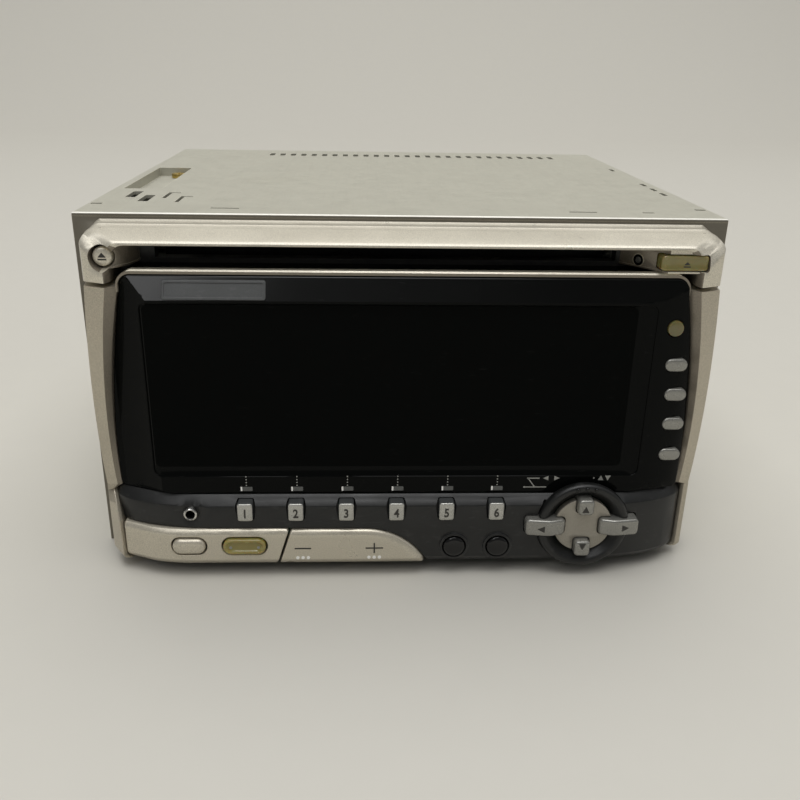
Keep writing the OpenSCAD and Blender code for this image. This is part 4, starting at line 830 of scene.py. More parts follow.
# %% Keys in the bezel
OPEN_DOME = [(0, 6), (2.5, 6), (2.55, 14.0), (2.5, 14.4), (2.36, 14.7), (2.1, 14.9), (1.3, 15.06), (0, 15.1)]
open_key = bmesh.new()
lathe(open_key, OPEN_DOME, (OPEN_KEY[0], 0, OPEN_KEY[1]))
finished("open_key", open_key, [champagne_painted_light], "open_button", ["open_button"])


def open_face(x, z):
    radius = math.hypot(x - OPEN_KEY[0], z - OPEN_KEY[1])
    return -float(np.interp(radius, [r for r, _ in OPEN_DOME[:2:-1]], [h for _, h in OPEN_DOME[:2:-1]]))


def eject_face(x, z):
    """A shallow hollow along the bar."""
    return -16.4 + 0.3 * math.cos(math.pi * (z - EJECT_KEY[1]) / EJECT_SIZE[1])


eject_key = bmesh.new()
moulding(eject_key, bar(*EJECT_KEY, *EJECT_SIZE, 0.9, 6, 8), eject_face, -6, 0.5,
         spots=lattice(steps(67.0, 78.2, 0.9), steps(89.8, 92.6, 0.4)))
finished("eject_key", eject_key, [aged_straw], "cd_eject_button", ["cd_eject_button"])

LAMP = (62.4, -8.5, 90.4)
CHEEK_NORMAL = (-0.764, -0.645, 0)
lamp = bmesh.new()
lathe(lamp, [(1.75, -0.5), (1.75, 0.1), (1.68, 0.2), (1.5, 0.2)], LAMP, CHEEK_NORMAL, slot=1)
lathe(lamp, [(1.5, 0.2), (1.42, 0.08), (1.36, 0.06), (0.9, 0.06), (0.85, 0.15)], LAMP, CHEEK_NORMAL)
lathe(lamp, [(0.85, 0.15), (0.75, 0.25), (0.35, 0.28), (0.32, 0.15), (0, 0.15)], LAMP, CHEEK_NORMAL, slot=2)
bmesh.ops.remove_doubles(lamp, verts=lamp.verts, dist=0.001)
finished("disc_lamp", lamp, [screen_black, champagne, print_grey], "chassis")

# %% [markdown]
# ## The door's silver edge
#
# Each side of the door is a trim with two facets that meet in a ridge. It narrows towards the foot, where
# it turns round the corner and runs out. The sections are drawn at heights along the side, then along the
# corner's arc. A thin silver rim closes the top of the display, and behind it the door's edge is dark. The
# surround takes a darker copy of the silver paint, painted shade; the trims' inner facets and the rim's
# front take a much darker copy, painted shade, and a bead along the rim's top a lighter one, a painted
# highlight.

# %% Door trims and rim
LENS_LOW, LENS_HALF, WAIST_Z = 25.4, 79.8, 35.0
SHOULDER, LENS_TOP, DOOR_TOP = 83.8, 86.9, 88.3
DOOR_HALF, DOOR_FOOT, DOOR_CORNER = 85.0, 3.0, 3.0
STRIP_END, STRIP_FOOT, STRIP_CORNER = 82.16, 3.4, 1.6
DOOR_BACK = -4.5


def waisted(half, radius, z):
    """Half the width, at a height, of a shape whose sides bow out most at the waist."""
    return half - radius + math.sqrt(radius ** 2 - (z - WAIST_Z) ** 2)


def lens_edge(z):
    return waisted(LENS_HALF, 220, z)


def trim_section(inner, edge_y, ridge, ridge_y, outer_y, turn_in=0.8, slim=0.0):
    """Distances and depths from the inner back corner round the front to the outer back corner."""
    return [(inner, DOOR_BACK), (inner, edge_y + 0.3), (inner + 0.12, edge_y), (ridge - 0.12, ridge_y + 0.04),
            (ridge, ridge_y), (ridge + 0.12, ridge_y + 0.05), (DOOR_HALF - turn_in, outer_y),
            (DOOR_HALF - slim, outer_y + 3.5), (DOOR_HALF - slim, DOOR_BACK)]


# Height, inner edge and its depth below the display, where the left trim widens beside the panel
LEFT_FOOT = [(23.4, 82.1, -10.8), (20.0, 81.0, -13.8), (15.8, 79.95, -16.4), (10.0, 79.65, -16.7)]
RIGHT_FOOT = [(24.8, 82.41, -11.6), (20.0, 82.41, -11.6), (15.8, 82.41, -11.6), (10.0, 82.41, -11.6)]


def foot_back(z):
    """The back of the door slants forward below the hinge, so that it clears the case as it swings."""
    return DOOR_BACK - 0.46 * max(0, 13 - z)


def side_trim(foot):
    sections = []
    for z in steps(LENS_LOW, SHOULDER, 3)[::-1]:
        back = ((SHOULDER - z) / (SHOULDER - LENS_LOW)) ** 2
        above, below = max(0, z - 45) / (SHOULDER - 45), max(0, 45 - z) / (45 - LENS_LOW)
        section = trim_section(lens_edge(z) + 0.25, -15.2 + 2.9 * back, waisted(81.4, 300, z),
                               -17.2 + 4.6 * back,
                               -15.0 + 2.8 * back, 0.35 + 1.45 * above ** 2 + 0.45 * below ** 2,
                               1.2 * above ** 2)
        sections.append([(x, y, z) for x, y in section])
    turn_z = DOOR_FOOT + DOOR_CORNER
    for z, inner, edge_y in foot + [(turn_z, *foot[-1][1:])]:
        section = trim_section(inner, edge_y, inner + 0.7, edge_y - 0.6, -12.4)
        sections.append([(x, y, z) for x, y in section])
    for k in range(1, 9):
        swing = math.radians(11 * k)
        ray = Vector((math.cos(swing), -math.sin(swing)))
        out = Vector((DOOR_HALF - DOOR_CORNER, turn_z)) + DOOR_CORNER * ray
        start = Vector((inner - 0.25 - STRIP_CORNER, STRIP_FOOT + STRIP_CORNER)) + (STRIP_CORNER + 0.25) * ray
        thin = (out - start).length / (DOOR_HALF - inner)
        bend = []
        for x, y in section:
            reach = start.lerp(out, (x - inner) / (DOOR_HALF - inner))
            bend.append((reach.x, -9 + (y + 9) * thin if y < -9 else y, reach.y))
        sections.append(bend)
    return [[(x, min(y, foot_back(z)), z) for x, y, z in section] for section in sections]


shell = bmesh.new()
for side, foot in ((1, RIGHT_FOOT), (-1, LEFT_FOOT)):
    loft(shell, [[(side * x, y, z) for x, y, z in section] for section in side_trim(foot)])
# The trims' inner facets take the much darker copy of the paint: painted shade.
shaded(shell, 2, lambda middle, normal: middle.z > LENS_LOW and turned_in(middle, normal))
rise = lens_edge(SHOULDER)
RIM_W, RIM_FACE, RIM_BACK, RIM_R, RIM_SLOPE = 0.55, -15.5, -13.0, 4.0, 0.4
RIM_FOOT, RIM_GAP, RIM_IN_R = 82.4, 0.25, 3.25
BEAD_ROOT, BEAD_END = 0.35, 3.0
rim_top = DOOR_TOP - RIM_SLOPE
inner_x, outer_x = rise + RIM_GAP, rise + RIM_GAP + RIM_W
rim_line = rounded([(-inner_x, RIM_FOOT, 0), (-inner_x, LENS_TOP + RIM_GAP, RIM_IN_R),
                    (inner_x, LENS_TOP + RIM_GAP, RIM_IN_R),
                    (inner_x, RIM_FOOT, 0), (outer_x, RIM_FOOT, 0), (outer_x, rim_top, RIM_R),
                    (-outer_x, rim_top, RIM_R), (-outer_x, RIM_FOOT, 0)], 10, 6)
moulding(shell, rim_line, lambda x, z: RIM_FACE, RIM_BACK, 0)
# The rim's flat front takes the much darker copy of the paint: painted shade.
shaded(shell, 2, lambda middle, normal: (normal.y < -0.9 and abs(middle.y - RIM_FACE) < 0.02
                                         and middle.z > RIM_FOOT))
# A bead along the rim's top, in the lighter copy of the paint: a painted highlight.
bead = []
for reach, lift in ((BEAD_END, 0.02), (RIM_R, RIM_SLOPE)):
    root, top = rim_top - BEAD_ROOT, rim_top + lift
    section = [(RIM_FACE + 0.05, root), (RIM_FACE, rim_top), (RIM_FACE + lift, top), (RIM_BACK, top),
               (RIM_BACK, root)]
    bead.append([(outer_x - reach, y, z) for y, z in section])
bead += [[(-x, y, z) for x, y, z in section] for section in bead[::-1]]
loft(shell, bead, slot=3)
rim_back = rounded([(-inner_x, RIM_FOOT, 0), (-inner_x, LENS_TOP + RIM_GAP, RIM_IN_R),
                    (inner_x, LENS_TOP + RIM_GAP, RIM_IN_R),
                    (inner_x, RIM_FOOT, 0), (outer_x - 0.1, RIM_FOOT, 0),
                    (outer_x - 0.1, DOOR_TOP - 0.6, 3.6),
                    (-outer_x + 0.1, DOOR_TOP - 0.6, 3.6), (-outer_x + 0.1, RIM_FOOT, 0)], 10, 6)
moulding(shell, rim_back, lambda x, z: RIM_BACK, DOOR_BACK, 0, slot=1)
finished("door_surround", shell, [trim_painted_shade, screen_black, champagne_painted_shade, champagne_painted_light], "door",
         ["door_shell"], 18)

# %% [markdown]
# ## The display
#
# The display is one thick black moulding with a sunken window. Its face is flat in the middle, curls back
# towards both ends and slopes back along the top, and where two of these meet they make a mitre like a
# picture frame's. The window's right and lower walls are wide slants, which catch the light.

# %% Display moulding
BOW_FLAT, BOW_RUN, BOW_END = 60.0, 22.5, math.sin(math.radians(80))
WINDOW_DEPTH = 1.2
SIDE_KEYS = {"display_button": 63.5, "clock_button": 54.8, "info_button": 46.0, "escape_button": 36.5}
SIDE_KEY_SIZE, SIDE_KEY_IN = (6.1, 3.6), 4.5
PROGRAM_Z, PROGRAM_R = 73.9, 2.2
KEY_GAP = 0.25


def bowed(reach, sweep, flat=BOW_FLAT, run=BOW_RUN):
    """Depth of a front that is flat in the middle and curls back towards both ends."""
    def depth(x):
        turn = min(max(abs(x) - flat, 0) / run, BOW_END)
        return reach + sweep * (1 - math.sqrt(1 - turn * turn))
    return depth


LENS_REACH, FACET_X, FACET_Z = -18.5, -67.3, 81.0
lens_bow = bowed(LENS_REACH, 8)


def lens_face(x, z):
    """Curls back to the right, slants back in a facet to the left and slopes back along the top."""
    left = max(0, FACET_X - x)
    side = 0.62 * left - 0.011 * left ** 2 if x < 0 else lens_bow(x) - LENS_REACH
    return LENS_REACH + max(side, (z - FACET_Z) * 0.51, 0)


side_line = [(lens_edge(z), z, 0) for z in steps(28, 82, 3)]
lens_line = rounded([(-lens_edge(LENS_LOW), LENS_LOW, 1.6), (lens_edge(LENS_LOW), LENS_LOW, 1.6)] + side_line
                    + [(rise, LENS_TOP, 3.0), (-rise, LENS_TOP, 3.0)]
                    + [(-x, z, r) for x, z, r in side_line[::-1]], 8, 12)
side_holes = [bar(lens_edge(z) - SIDE_KEY_IN, z, SIDE_KEY_SIZE[0] + 0.3, SIDE_KEY_SIZE[1] + 0.3, 1.9)
              for z in SIDE_KEYS.values()]
side_holes.append(circle(lens_edge(PROGRAM_Z) - SIDE_KEY_IN, PROGRAM_Z, PROGRAM_R + KEY_GAP, 32))
window_top = rounded([(-69.3, 30.7, 2), (66.4, 30.7, 2), (66.4, 80.2, 2), (-69.3, 80.2, 2)], 8, 16)
window_foot = rounded([(-68.7, 33.2, 1.5), (61.4, 33.2, 1.5), (61.4, 79.6, 1.5), (-68.7, 79.6, 1.5)], 8, 16)
ends = steps(56, 79, 1)
lens_spots = lattice(steps(-79.3, -66.3, 0.5) + steps(-64, 52, 4) + ends,
                     steps(26.4, 79, 2.5) + steps(80.2, 86.6, 0.4))

lens = bmesh.new()
outer = rim(lens, lens_line, lens_face, -13, 0.35)
keyed = [rim(lens, hole, lens_face, -13, 0.1, -1) for hole in side_holes]
lip = rim(lens, window_top, lens_face, lambda x, z: lens_face(x, z) + 0.4, 0.3, -1)
skin(lens, [outer[-1], lip[-1]] + [r[-1] for r in keyed], lens_face, lens_spots)
floor_ring = ring(lens, window_foot, LENS_REACH + WINDOW_DEPTH)
band(lens, floor_ring, lip[0])
skin(lens, [floor_ring], LENS_REACH + WINDOW_DEPTH, slot=1)
skin(lens, [outer[0]] + [r[0] for r in keyed], -13)
LEVEL_WAY, MITRE_WAY = (0, 0, 1), (5.9, 0, 5.0)
for way in (LEVEL_WAY, MITRE_WAY):
    everything = lens.verts[:] + lens.edges[:] + lens.faces[:]
    cut = bmesh.ops.bisect_plane(lens, geom=everything, dist=0.001, plane_co=(FACET_X, 0, FACET_Z),
                                 plane_no=way)
    for vert in (part for part in cut["geom_cut"] if isinstance(part, bmesh.types.BMVert)):
        depth = lens_face(vert.co.x, vert.co.z)
        if abs(depth - vert.co.y) < 0.32:
            vert.co.y = depth
# The slope along the display's top takes the black whose reflection is painted strong at the left end.
shaded(lens, 2, lambda middle, normal: (middle.z > FACET_Z and middle.y < -13.5
                                        and normal.y < 0 and normal.z > 0.25))
finished("display_window", lens, [lens_black, screen_black, brow_black], "door",
         ["display_lens"], 24)

# %% [markdown]
# On the display's upper edge sits a plain grey plate with a raised border. The marks on the display are short
# leaders that point at the number keys.

# %% Plate and leaders
def mark(name, lines, face, body, finish, lift=0.05):
    """Thin raised print that follows a face."""
    bm = bmesh.new()
    for line in lines:
        fine = []
        for here, ahead in zip(line, line[1:] + line[:1]):
            fine += [here.lerp(ahead, t) for t in steps(0, 1, 0.35 / max((ahead - here).length, 0.35))[:-1]]
        xs, zs = [p.x for p in line], [p.y for p in line]
        moulding(bm, fine, lambda x, z: face(x, z) - lift, lambda x, z: face(x, z) + 0.05, 0,
                 spots=lattice(steps(min(xs), max(xs), 0.4), steps(min(zs), max(zs), 0.4)))
    return finished(name, bm, [finish], body)


plate = bmesh.new()
plate_line = bar(-49.8, 83.6, 26.6, 4.7, 0.7, 6, 8)
moulding(plate, plate_line, lambda x, z: lens_face(x, z) - 0.45, lambda x, z: lens_face(x, z) + 0.2, 0.2,
         [bar(-49.8, 83.6, 25.2, 3.3, 0.4, 6, 8)], 0.12)
moulding(plate, bar(-49.8, 83.6, 25.4, 3.5, 0.4, 6, 8), lambda x, z: lens_face(x, z) - 0.18,
         lambda x, z: lens_face(x, z) + 0.2, 0)
finished("bare_plate", plate, [badge_grey], "door")

PRESET_X = [-44.3 + 14.1 * i for i in range(6)]
leaders = []
for x in PRESET_X:
    leaders += [circle(x + 0.3, z, 0.2, 10) for z in (27.9, 28.8, 29.7, 30.6)]
leaders += [circle(34.3, 27.1, 0.3, 12), bar(37.5, 27.1, 6.2, 0.3, 0.1),
            [Vector(p) for p in ((37.0, 27.2), (37.4, 27.2), (35.2, 30.1), (34.9, 30.1))],
            bar(36.7, 29.9, 3.6, 0.3, 0.1)]
for x, way in ((40.3, -1), (43.4, 1)):
    leaders.append(rounded([(x - way * 0.7, 29.2, 0), (x - way * 0.7, 30.6, 0), (x + way * 0.8, 29.9, 0)]))
for x, way in ((56.0, 1), (58.0, -1)):
    foot, tip = 29.9 - way * 0.7, 29.9 + way * 0.8
    leaders.append(rounded([(x - 0.8, foot, 0), (x + 0.8, foot, 0), (x, tip, 0)]))
leaders.append(circle(54.0, 29.9, 0.25, 10))
mark("leader_marks", leaders, lens_face, "door", print_pale)
blocks = [bar(x + 0.6, 26.8, 2.7, 1.3, 0.25) for x in PRESET_X]
mark("leader_blocks", blocks, lens_face, "door", print_grey)
ticks = [bar(x - 1.1, 26.8, 0.5, 1.3, 0.1) for x in PRESET_X]
mark("leader_ticks", ticks, lens_face, "door", dot_white)

# %% Keys beside the display
def crown_key(line, x, z, reach, back, rise_x, rise_z, half_w, half_h, edge, finish, name, body, slot,
              pitch=0.6, sides=None):
    """A key whose face is crowned by rise_x along its length and rise_z across it."""
    def face(px, pz):
        return reach + rise_x * ((px - x) / half_w) ** 2 + rise_z * ((pz - z) / half_h) ** 2
    bm = bmesh.new()
    moulding(bm, line, face, back, edge,
             spots=lattice(steps(x - half_w, x + half_w, pitch), steps(z - half_h, z + half_h, pitch)))
    if sides:
        shaded(bm, 1, lambda middle, normal: normal.y > -0.35)
    return finished(name, bm, [finish, sides or finish], body, [body])


for body, z in SIDE_KEYS.items():
    x = lens_edge(z) - SIDE_KEY_IN
    reach = lens_bow(x) - 1.1
    crown_key(bar(x, z, *SIDE_KEY_SIZE, 1.65, 8, 4), x, z, reach, -12, 0.2, 0.25, 3.05, 1.8, 0.45, key_silver,
              body.replace("button", "key"), body, "silver_paint")
program = bmesh.new()
program_x = lens_edge(PROGRAM_Z) - SIDE_KEY_IN
reach = -lens_bow(program_x) + 0.7
lathe(program, [(0, 12), (2.2, 12), (2.2, reach - 0.5), (2.05, reach - 0.15), (1.7, reach),
                (1.2, reach + 0.02), (0.6, reach + 0.12), (0, reach + 0.15)], (program_x, 0, PROGRAM_Z))
finished("program_key", program, [aged_olive], "program_button", ["program_button"])

# %% [markdown]
# ## The key strip
#
# The dark strip under the display bulges further out than the display and carries the number keys, a small
# jack and the direction pad. A sloped top edge runs its whole length and round both ends. The opening for
# the pad is cut last, because it breaks through the strip's top edge.

# %% Strip
STRIP_TOP, STRIP_BEVEL, STRIP_REACH = 25.2, 2.7, -21.0
JACK = (-59.6, 20.2)
ROUND_KEYS = {"function_button": 14.7, "audio_button": 27.2}
ROUND_KEY_Z, ROUND_KEY_R = 9.6, 3.1
PRESET_Z, PRESET_W, PRESET_H = 21.3, 4.3, 5.5
PANEL_TOP, ROCKER_TOP, ROCKER_R, ROCKER_MIDDLE = 15.5, 15.2, 20.0, (-11.0, -4.8)
PAD = (51.3, 16.6)
FOOT_ROLL, FOOT_RISE = 2.4, 2.6
STRIP_LEFT, PANEL_END = 81.75, 79.4
strip_bow = bowed(STRIP_REACH, 11.5, 52.0, 30.5)


def footed(z):
    """How far a face rolls back towards the foot of the door."""
    return FOOT_ROLL * (max(0, STRIP_FOOT + FOOT_RISE - z) / FOOT_RISE) ** 1.3


def strip_face(x, z):
    dish = math.hypot(x - JACK[0], z - JACK[1])
    hollow = 1.1 * max(0, 1 - dish / 4.4)
    return strip_bow(x) + 0.95 * max(0, z - STRIP_TOP + STRIP_BEVEL) + hollow + footed(z)


PAD_KEYS = {"left_button": (40.3, 16.6, 11.6, 5.4), "right_button": (61.4, 16.6, 11.6, 5.4),
            "up_button": (51.3, 23.2, 4.8, 5.2), "down_button": (51.3, 10.0, 4.8, 5.2)}
RING_R = 13.15


def pad_notches(bm):
    """Clearance for the four direction keys, in whatever they pass through."""
    for x, z, width, height in PAD_KEYS.values():
        loft(bm, [[(p.x, y, p.y) for p in bar(x, z, width + 0.3, height + 0.3, 1.2)] for y in (-10, -30)])


def arc(middle, radius, start, end, count):
    turns = [math.radians(a) for a in steps(start, end, (end - start) / count)]
    return [(middle[0] + radius * math.cos(a), middle[1] + radius * math.sin(a), 0) for a in turns]


strip_line = rounded(arc(ROCKER_MIDDLE, ROCKER_R + 0.3, 90, 23.8, 16)
                     + [(STRIP_END, STRIP_FOOT, STRIP_CORNER), (STRIP_END, STRIP_TOP, 0.8),
                        (-STRIP_LEFT, STRIP_TOP, 2.0),
                        (-PANEL_END - 0.3, PANEL_TOP + 0.3, 0.4), (-32, PANEL_TOP + 0.3, 0)], 8, 40)
strip_holes = [bar(x, PRESET_Z, PRESET_W + 2 * KEY_GAP, PRESET_H + 2 * KEY_GAP, 0.6) for x in PRESET_X]
strip_holes += [circle(x, ROUND_KEY_Z, ROUND_KEY_R + KEY_GAP) for x in ROUND_KEYS.values()]
strip_holes.append(circle(*JACK, 1.95, 32))
dish_spots = [(JACK[0] + r * math.cos(a), JACK[1] + r * math.sin(a)) for r in (2.6, 3.3, 4.0, 4.5)
              for a in (2 * math.pi * k / 32 for k in range(32))]
ends = steps(56, 81.6, 0.8)
hole_half = PRESET_W / 2 + KEY_GAP
beside_keys = [x + side * (hole_half + gap) for x in PRESET_X for side in (-1, 1) for gap in (0.45, 1.0)]
strip_spots = lattice([-x for x in ends[::-1]] + steps(-54, 54, 3) + ends + beside_keys,
                      [4, 4.5, 5, 5.5, 6, 7, 9, 11, 13, 15, 17, 19, 20.5, 21.8, 22.35, 22.65, 23.4, 24.1,
                       24.7])
strip_spots = dish_spots + [p for p in strip_spots if math.hypot(p[0] - JACK[0], p[1] - JACK[1]) > 4.8]

strip = bmesh.new()
moulding(strip, strip_line, strip_face, lambda x, z: strip_bow(x) + 3, 0.22, strip_holes, 0.12, strip_spots)
openings = bmesh.new()
lathe(openings, [(0, 10), (8.75, 10), (8.75, 19.8), (RING_R + 0.3, 19.8), (RING_R + 0.3, 30), (0, 30)],
      (PAD[0], 0, PAD[1]))
pad_notches(openings)
strip = carved(strip, DIFFERENCE=openings)
for x in ROUND_KEYS.values():
    lathe(strip, [(3.35, 20.6), (3.35, 21.3), (3.5, 21.55), (3.8, 21.6), (4.15, 21.45), (4.3, 20.9),
                  (4.3, 20.6), (3.35, 20.6)], (x, 0, ROUND_KEY_Z))
finished("key_strip", strip, [strip_black], "door", ["button_strip"], 26)

# %% Jack, number keys and round keys
jack = bmesh.new()
lathe(jack, [(0, 10), (1.95, 10), (1.95, 20.9), (1.85, 21.2), (1.6, 21.4), (1.35, 21.3), (1.2, 20.9)],
      (JACK[0], 0, JACK[1]), turns=40)
lathe(jack, [(1.2, 20.9), (1.2, 12), (0, 12)], (JACK[0], 0, JACK[1]), turns=40, slot=1)
bmesh.ops.remove_doubles(jack, verts=jack.verts, dist=0.001)
finished("jack_ring", jack, [bright_steel, key_black], "door", ["mic_jack"])


def digit(text, x, z, height, depth):
    """A raised figure, set out flat and stood up on a key's face."""
    font = bpy.data.curves.new("figure", "FONT")
    font.body = text
    font.size = height * 1.37
    font.align_x = "CENTER"
    font.extrude = 0.04
    font.offset = 0.1
    font.resolution_u = 4
    holder = bpy.data.objects.new("figure", font)
    bpy.context.scene.collection.objects.link(holder)
    bpy.context.view_layer.update()
    mesh = bpy.data.meshes.new_from_object(holder.evaluated_get(bpy.context.evaluated_depsgraph_get()))
    bpy.data.objects.remove(holder)
    bm = bmesh.new()
    bm.from_mesh(mesh)
    for vert in bm.verts:
        vert.co = Vector((x + vert.co.x * 0.8, depth - vert.co.z, z - height / 2 + vert.co.y))
    return bm


for i, x in enumerate(PRESET_X):
    body = f"preset_button_{i + 1}"
    crown_key(bar(x, PRESET_Z, PRESET_W, PRESET_H, 0.7, 6, 3), x, PRESET_Z, -22.6, -17, 0.10, 0.16, 2.15,
              2.75, 0.5, number_silver, f"number_key_{i + 1}", body, "silver_paint", sides=badge_grey)
    figure = digit(str(i + 1), x, PRESET_Z - 0.1, 2.7, -22.6)
    finished(f"figure_{i + 1}", figure, [print_dark], body)
for body, x in ROUND_KEYS.items():
    dome = bmesh.new()
    lathe(dome, [(0, 17), (3.1, 17), (3.1, 21.3), (3.0, 21.75), (2.7, 22.05), (2.2, 22.2), (1.2, 22.33),
                 (0, 22.4)],
          (x, 0, ROUND_KEY_Z))
    finished(body.replace("button", "dome"), dome, [key_black], body, [body])

# %% [markdown]
# ## The silver panel and the rocker
#
# Below the strip, a silver panel holds two bar keys, and beside it a long rocker with a rounded nose turns
# the volume up or down. The panel's left end is cut to a flat facet, and both have a bright rolled top
# edge.

# %% Lower panel
PANEL_REACH, PANEL_CREASE, PANEL_SLANT = -22.0, -71.0, 0.42
panel_bow = bowed(PANEL_REACH, 11.5)
SEAM_TOP, SEAM_FOOT, SEAM = -32.3, -36.1, 0.6
SOUND_KEY, SOUND_W = (-60.5, 10.4), 9.2
SOURCE_KEY, SOURCE_W = (-44.9, 10.4), 12.0
BAR_KEY_H, TRACK = 4.8, 0.45


def rolled(z, top):
    """How far a face rolls back towards its upper edge and its foot."""
    return 0.55 * max(0, z - (top - 1.5)) ** 1.5 + footed(z)


def panel_face(x, z):
    depth = panel_bow(x)
    if x < PANEL_CREASE:
        depth = panel_bow(PANEL_CREASE) + PANEL_SLANT * (PANEL_CREASE - x)
    return depth + rolled(z, PANEL_TOP)


panel_line = rounded([(-PANEL_END, STRIP_FOOT, STRIP_CORNER), (SEAM_FOOT, STRIP_FOOT, 0.7),
                      (SEAM_TOP, PANEL_TOP, 0.7), (-PANEL_END, PANEL_TOP, 0.7)], 10, 24)
bar_holes = [bar(*middle, width + 2 * TRACK, BAR_KEY_H + 2 * TRACK, BAR_KEY_H / 2 + TRACK - 0.1, 10, 6)
             for middle, width in ((SOUND_KEY, SOUND_W), (SOURCE_KEY, SOURCE_W))]
panel = bmesh.new()
moulding(panel, panel_line, panel_face, lambda x, z: panel_bow(x) + 3.4, 0.4, bar_holes, 0.3,
         lattice(steps(-78.8, -71.4, 0.8) + [-71.1, -70.9] + steps(-70, -36, 1.5),
                 [4.1, 4.7, 5.3, 6, 7, 8, 9.5, 11, 12.5, 13.6, 14.1, 14.5, 14.9]))
finished("lower_panel_moulding", panel, [champagne], "door", ["lower_panel"], 22)

# %% Bar keys and rocker
crown_key(bar(*SOUND_KEY, SOUND_W, BAR_KEY_H, 2.3, 10, 4), *SOUND_KEY, -22.9, -17, 0.15, 0.35, SOUND_W / 2,
          BAR_KEY_H / 2, 0.9, champagne, "sound_key", "sound_button", "silver_paint")


def source_face(x, z):
    """A raised rim round a sunken middle."""
    across = math.hypot(max(0, abs(x - SOURCE_KEY[0]) - (SOURCE_W - BAR_KEY_H) / 2), z - SOURCE_KEY[1])
    share = min(max((BAR_KEY_H / 2 - 0.75 - across) / 0.6, 0), 1)
    return -22.8 + 0.55 * share * share * (3 - 2 * share)


source_key = bmesh.new()
moulding(source_key, bar(*SOURCE_KEY, SOURCE_W, BAR_KEY_H, 2.3, 10, 8), source_face, -17, 0.5,
         spots=lattice(steps(SOURCE_KEY[0] - 5.6, SOURCE_KEY[0] + 5.6, 0.35), steps(8.3, 12.5, 0.3)))
finished("source_key", source_key, [aged_amber], "source_button", ["source_button"])
lamps = [circle(SOURCE_KEY[0] + off, SOURCE_KEY[1] - 0.3, 0.42, 16) for off in (-3.9, 3.9)]
mark("source_lamps", lamps, source_face, "source_button", print_pale, 0.08)

rocker_line = rounded([(SEAM_FOOT + SEAM, STRIP_FOOT, 0.7), (ROCKER_MIDDLE[0] + 17.6, STRIP_FOOT, 1.2)]
                      + arc(ROCKER_MIDDLE, ROCKER_R, 33, 90, 18) + [(SEAM_TOP + SEAM, ROCKER_TOP, 0.7)], 6,
                      14)


def rocker_face(x, z):
    along, up = x - ROCKER_MIDDLE[0], z - ROCKER_MIDDLE[1]
    nose = math.hypot(along, up) if along > 0 else up
    return PANEL_REACH + 0.55 * max(0, nose - (ROCKER_R - 1.5)) ** 1.5 + footed(z)


rocker = bmesh.new()
moulding(rocker, rocker_line, rocker_face, -18.6, 0.4,
         spots=lattice(steps(-34.5, 8, 1.1), [4.1, 4.7, 5.3, 6, 7, 8, 9.5, 11, 12.5, 13.5, 14.1, 14.6]))
loft(rocker, [[(x, y, z) for x, z in ((-15, 8.8), (-13, 8.8), (-13, 12.8), (-15, 12.8))] for y in (-19, -13)])
finished("volume_bar", rocker, [champagne], "volume_rocker", ["volume_rocker"], 24)

MINUS_X, PLUS_X, SIGN_Z, DOT_Z = -28.5, -8.2, 9.5, 6.5
signs = [bar(MINUS_X, SIGN_Z, 4.7, 0.42, 0.1), bar(PLUS_X, SIGN_Z, 5.0, 0.42, 0.1),
         bar(PLUS_X, SIGN_Z + 0.95, 0.42, 1.5, 0.1), bar(PLUS_X, SIGN_Z - 0.95, 0.42, 1.5, 0.1)]
mark("volume_signs", signs, rocker_face, "volume_rocker", print_dark)
dots = [circle(x + off, DOT_Z, 0.5, 16) for x in (MINUS_X, PLUS_X) for off in (-1.5, 0, 1.5)]
mark("volume_dots", dots, rocker_face, "volume_rocker", dot_white, 0.12)

# %% [markdown]
# ## The direction pad
#
# A dark ring, rounded like a tyre, surrounds a silver disc with four keys in it. Ring and disc are turned
# on a lathe, and the keys' clearances are cut out of both. The left and right keys have a crease across
# them, like a shallow roof, nearer to their inner end.

# %% Direction pad
pad_ring = bmesh.new()
lathe(pad_ring, [(8.75, 19.8), (12.7, 19.8), (13.05, 20.8), (RING_R, 21.6), (12.95, 22.3), (12.5, 22.75),
                 (11.9, 22.9),
                 (11.2, 22.75), (10.7, 22.3), (9.4, 20.9), (8.75, 20.4), (8.75, 19.8)], (PAD[0], 0, PAD[1]),
      turns=96)
foot_block = bmesh.new()
loft(foot_block, [[(x, y, z) for x, z in ((30, -5), (70, -5), (70, STRIP_FOOT),
                                          (30, STRIP_FOOT))] for y in (-15, -30)])
pad_notches(foot_block)
pad_ring = carved(pad_ring, DIFFERENCE=foot_block)
broken(pad_ring, 0.12, 50)
finished("pad_ring", pad_ring, [strip_black], "door", ["dpad_ring"])

pad_disc = bmesh.new()
lathe(pad_disc, [(0, 19.85), (8.3, 19.85), (8.3, 21.8), (8.2, 21.95), (8.0, 22.0), (0, 22.0)],
      (PAD[0], 0, PAD[1]), turns=96)
notches = bmesh.new()
pad_notches(notches)
pad_disc = carved(pad_disc, DIFFERENCE=notches)
broken(pad_disc, 0.12, 50)
lathe(pad_disc, [(0, 18), (1.5, 18), (1.5, 19.9), (0, 19.9)], (PAD[0], 0, PAD[1]))
finished("pad_disc", pad_disc, [disc_silver], "select_disc", ["select_disc"])

ARROW_REACH, ARROW_BACK = -24.34, -19.4
ARROW_PLACES = {"left_button": (39.2, 16.4), "right_button": (62.9, 16.6), "up_button": (51.1, 22.6),
                "down_button": (51.2, 11.0)}
TURNS = {"left_button": 90, "right_button": -90, "up_button": 0, "down_button": 180}


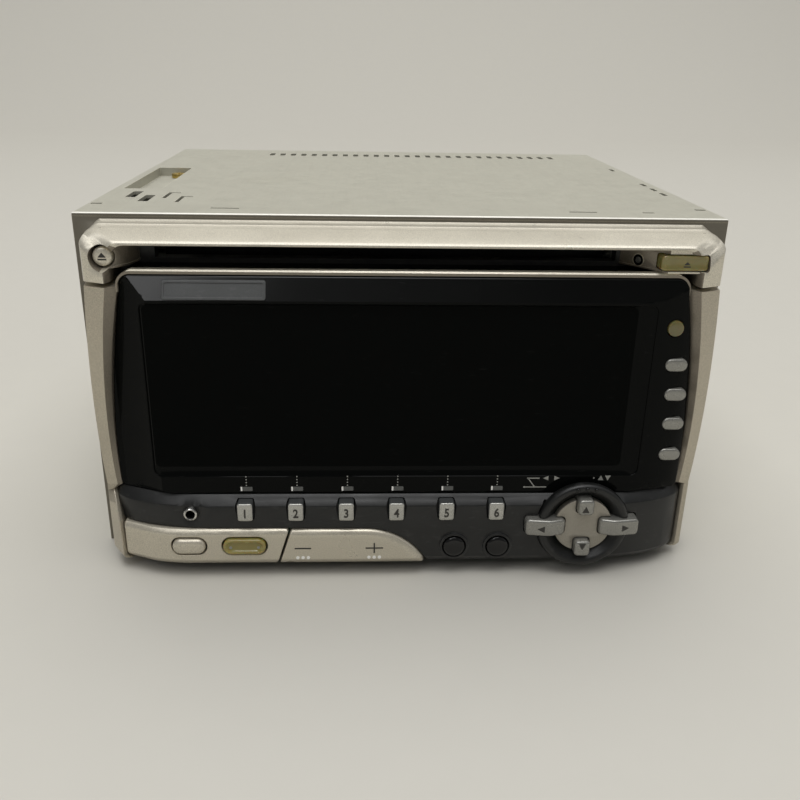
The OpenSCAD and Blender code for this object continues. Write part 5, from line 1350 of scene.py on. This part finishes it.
def key_roof(body):
    """The face of a direction key: a roof across the long ones, a shallow crown on the short ones."""
    x, z, width, height = PAD_KEYS[body]
    way = 1 if x > PAD[0] else -1

    def face(px, pz):
        if width < height:
            return ARROW_REACH + 0.3 * (abs(px - x) / width) ** 2 + 0.5 * (abs(pz - z) / height) ** 2
        along = way * (px - x) + 1.3
        return ARROW_REACH + (0.13 * along if along > 0 else -0.26 * along) + 0.3 * ((pz - z) / height) ** 2
    return face


for body, (x, z, width, height) in PAD_KEYS.items():
    face = key_roof(body)
    name = body.replace("button", "key")
    key = bmesh.new()
    moulding(key, bar(x, z, width - 0.3, height - 0.4, 1.1, 6, 6), face, ARROW_BACK, 0.7,
             spots=lattice(steps(x - width / 2, x + width / 2, 0.4),
                           steps(z - height / 2, z + height / 2, 0.6)))
    finished(name, key, [key_silver], body, [body])
    turn = math.radians(TURNS[body])
    corners = [Vector((math.cos(a + turn), math.sin(a + turn))) for a in (math.pi / 2, -2.5, -0.64)]
    middle = Vector(ARROW_PLACES[body])
    arrow = rounded([(*(middle + 1.3 * corner), 0.1) for corner in corners], 2)
    mark(name + "_arrow", [arrow], face, body, print_dark, 0.04)

ring_bumps = bmesh.new()
for a in (-12.5, 0, 12.5):
    spot = (PAD[0] + 12.0 * math.sin(math.radians(a)), 0, PAD[1] + 12.0 * math.cos(math.radians(a)))
    lathe(ring_bumps, [(0, 22.6), (0.55, 22.6), (0.55, 23.02), (0.45, 23.2), (0.25, 23.32), (0, 23.36)], spot,
          turns=16)
finished("ring_bumps", ring_bumps, [key_black], "door")
eject_sign = [rounded([(OPEN_KEY[0] - 1.1, 91.2, 0.1), (OPEN_KEY[0] + 1.1, 91.2, 0.1),
                       (OPEN_KEY[0], 92.5, 0.1)], 2),
              bar(OPEN_KEY[0], 90.7, 2.2, 0.4, 0.05)]
mark("open_sign", eject_sign, open_face, "open_button", print_dark, 0.05)
bar_sign = [rounded([(EJECT_KEY[0] - 0.3, 90.75, 0.1), (EJECT_KEY[0] + 1.5, 90.75, 0.1),
                     (EJECT_KEY[0] + 0.6, 91.55, 0.1)], 2),
            bar(EJECT_KEY[0] + 0.6, 90.3, 1.9, 0.3, 0.05)]
mark("eject_sign", bar_sign, eject_face, "cd_eject_button", print_dark, 0.04)

# %% [markdown]
# ## What is inside
#
# With the door down the frame, the hinge and the drive gear show, and through the slots a little of the
# decks. Their CAD shapes stay as they are, and each takes the finish of its material.

# %% Finishes for the pieces inside
INSIDE = {
    dark_plastic: ["door_back", "display_module", "cd_turntable", "md_turntable", "cd_pickup", "md_pickup"],
    deck_steel: ["cd_deck", "md_deck", "md_holder", "clamp_arm"],
    bright_steel: ["hinge_pins", "drive_motors", "roller_shaft", "cd_lead_screw", "md_lead_screw",
                   "guide_rods"],
    rubber_black: ["feed_roller", "deck_dampers", "clamp_puck"],
    gear_white: ["drive_gear", "loading_gear"],
    board_green: ["main_board", "key_board"],
}
for material, names in INSIDE.items():
    for name in names:
        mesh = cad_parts[name].data
        mesh.materials.clear()
        mesh.materials.append(material)
print(sum(len(names) for names in INSIDE.values()), "solids keep their CAD shape")

# %% [markdown]

# %% End
print("lesson done")
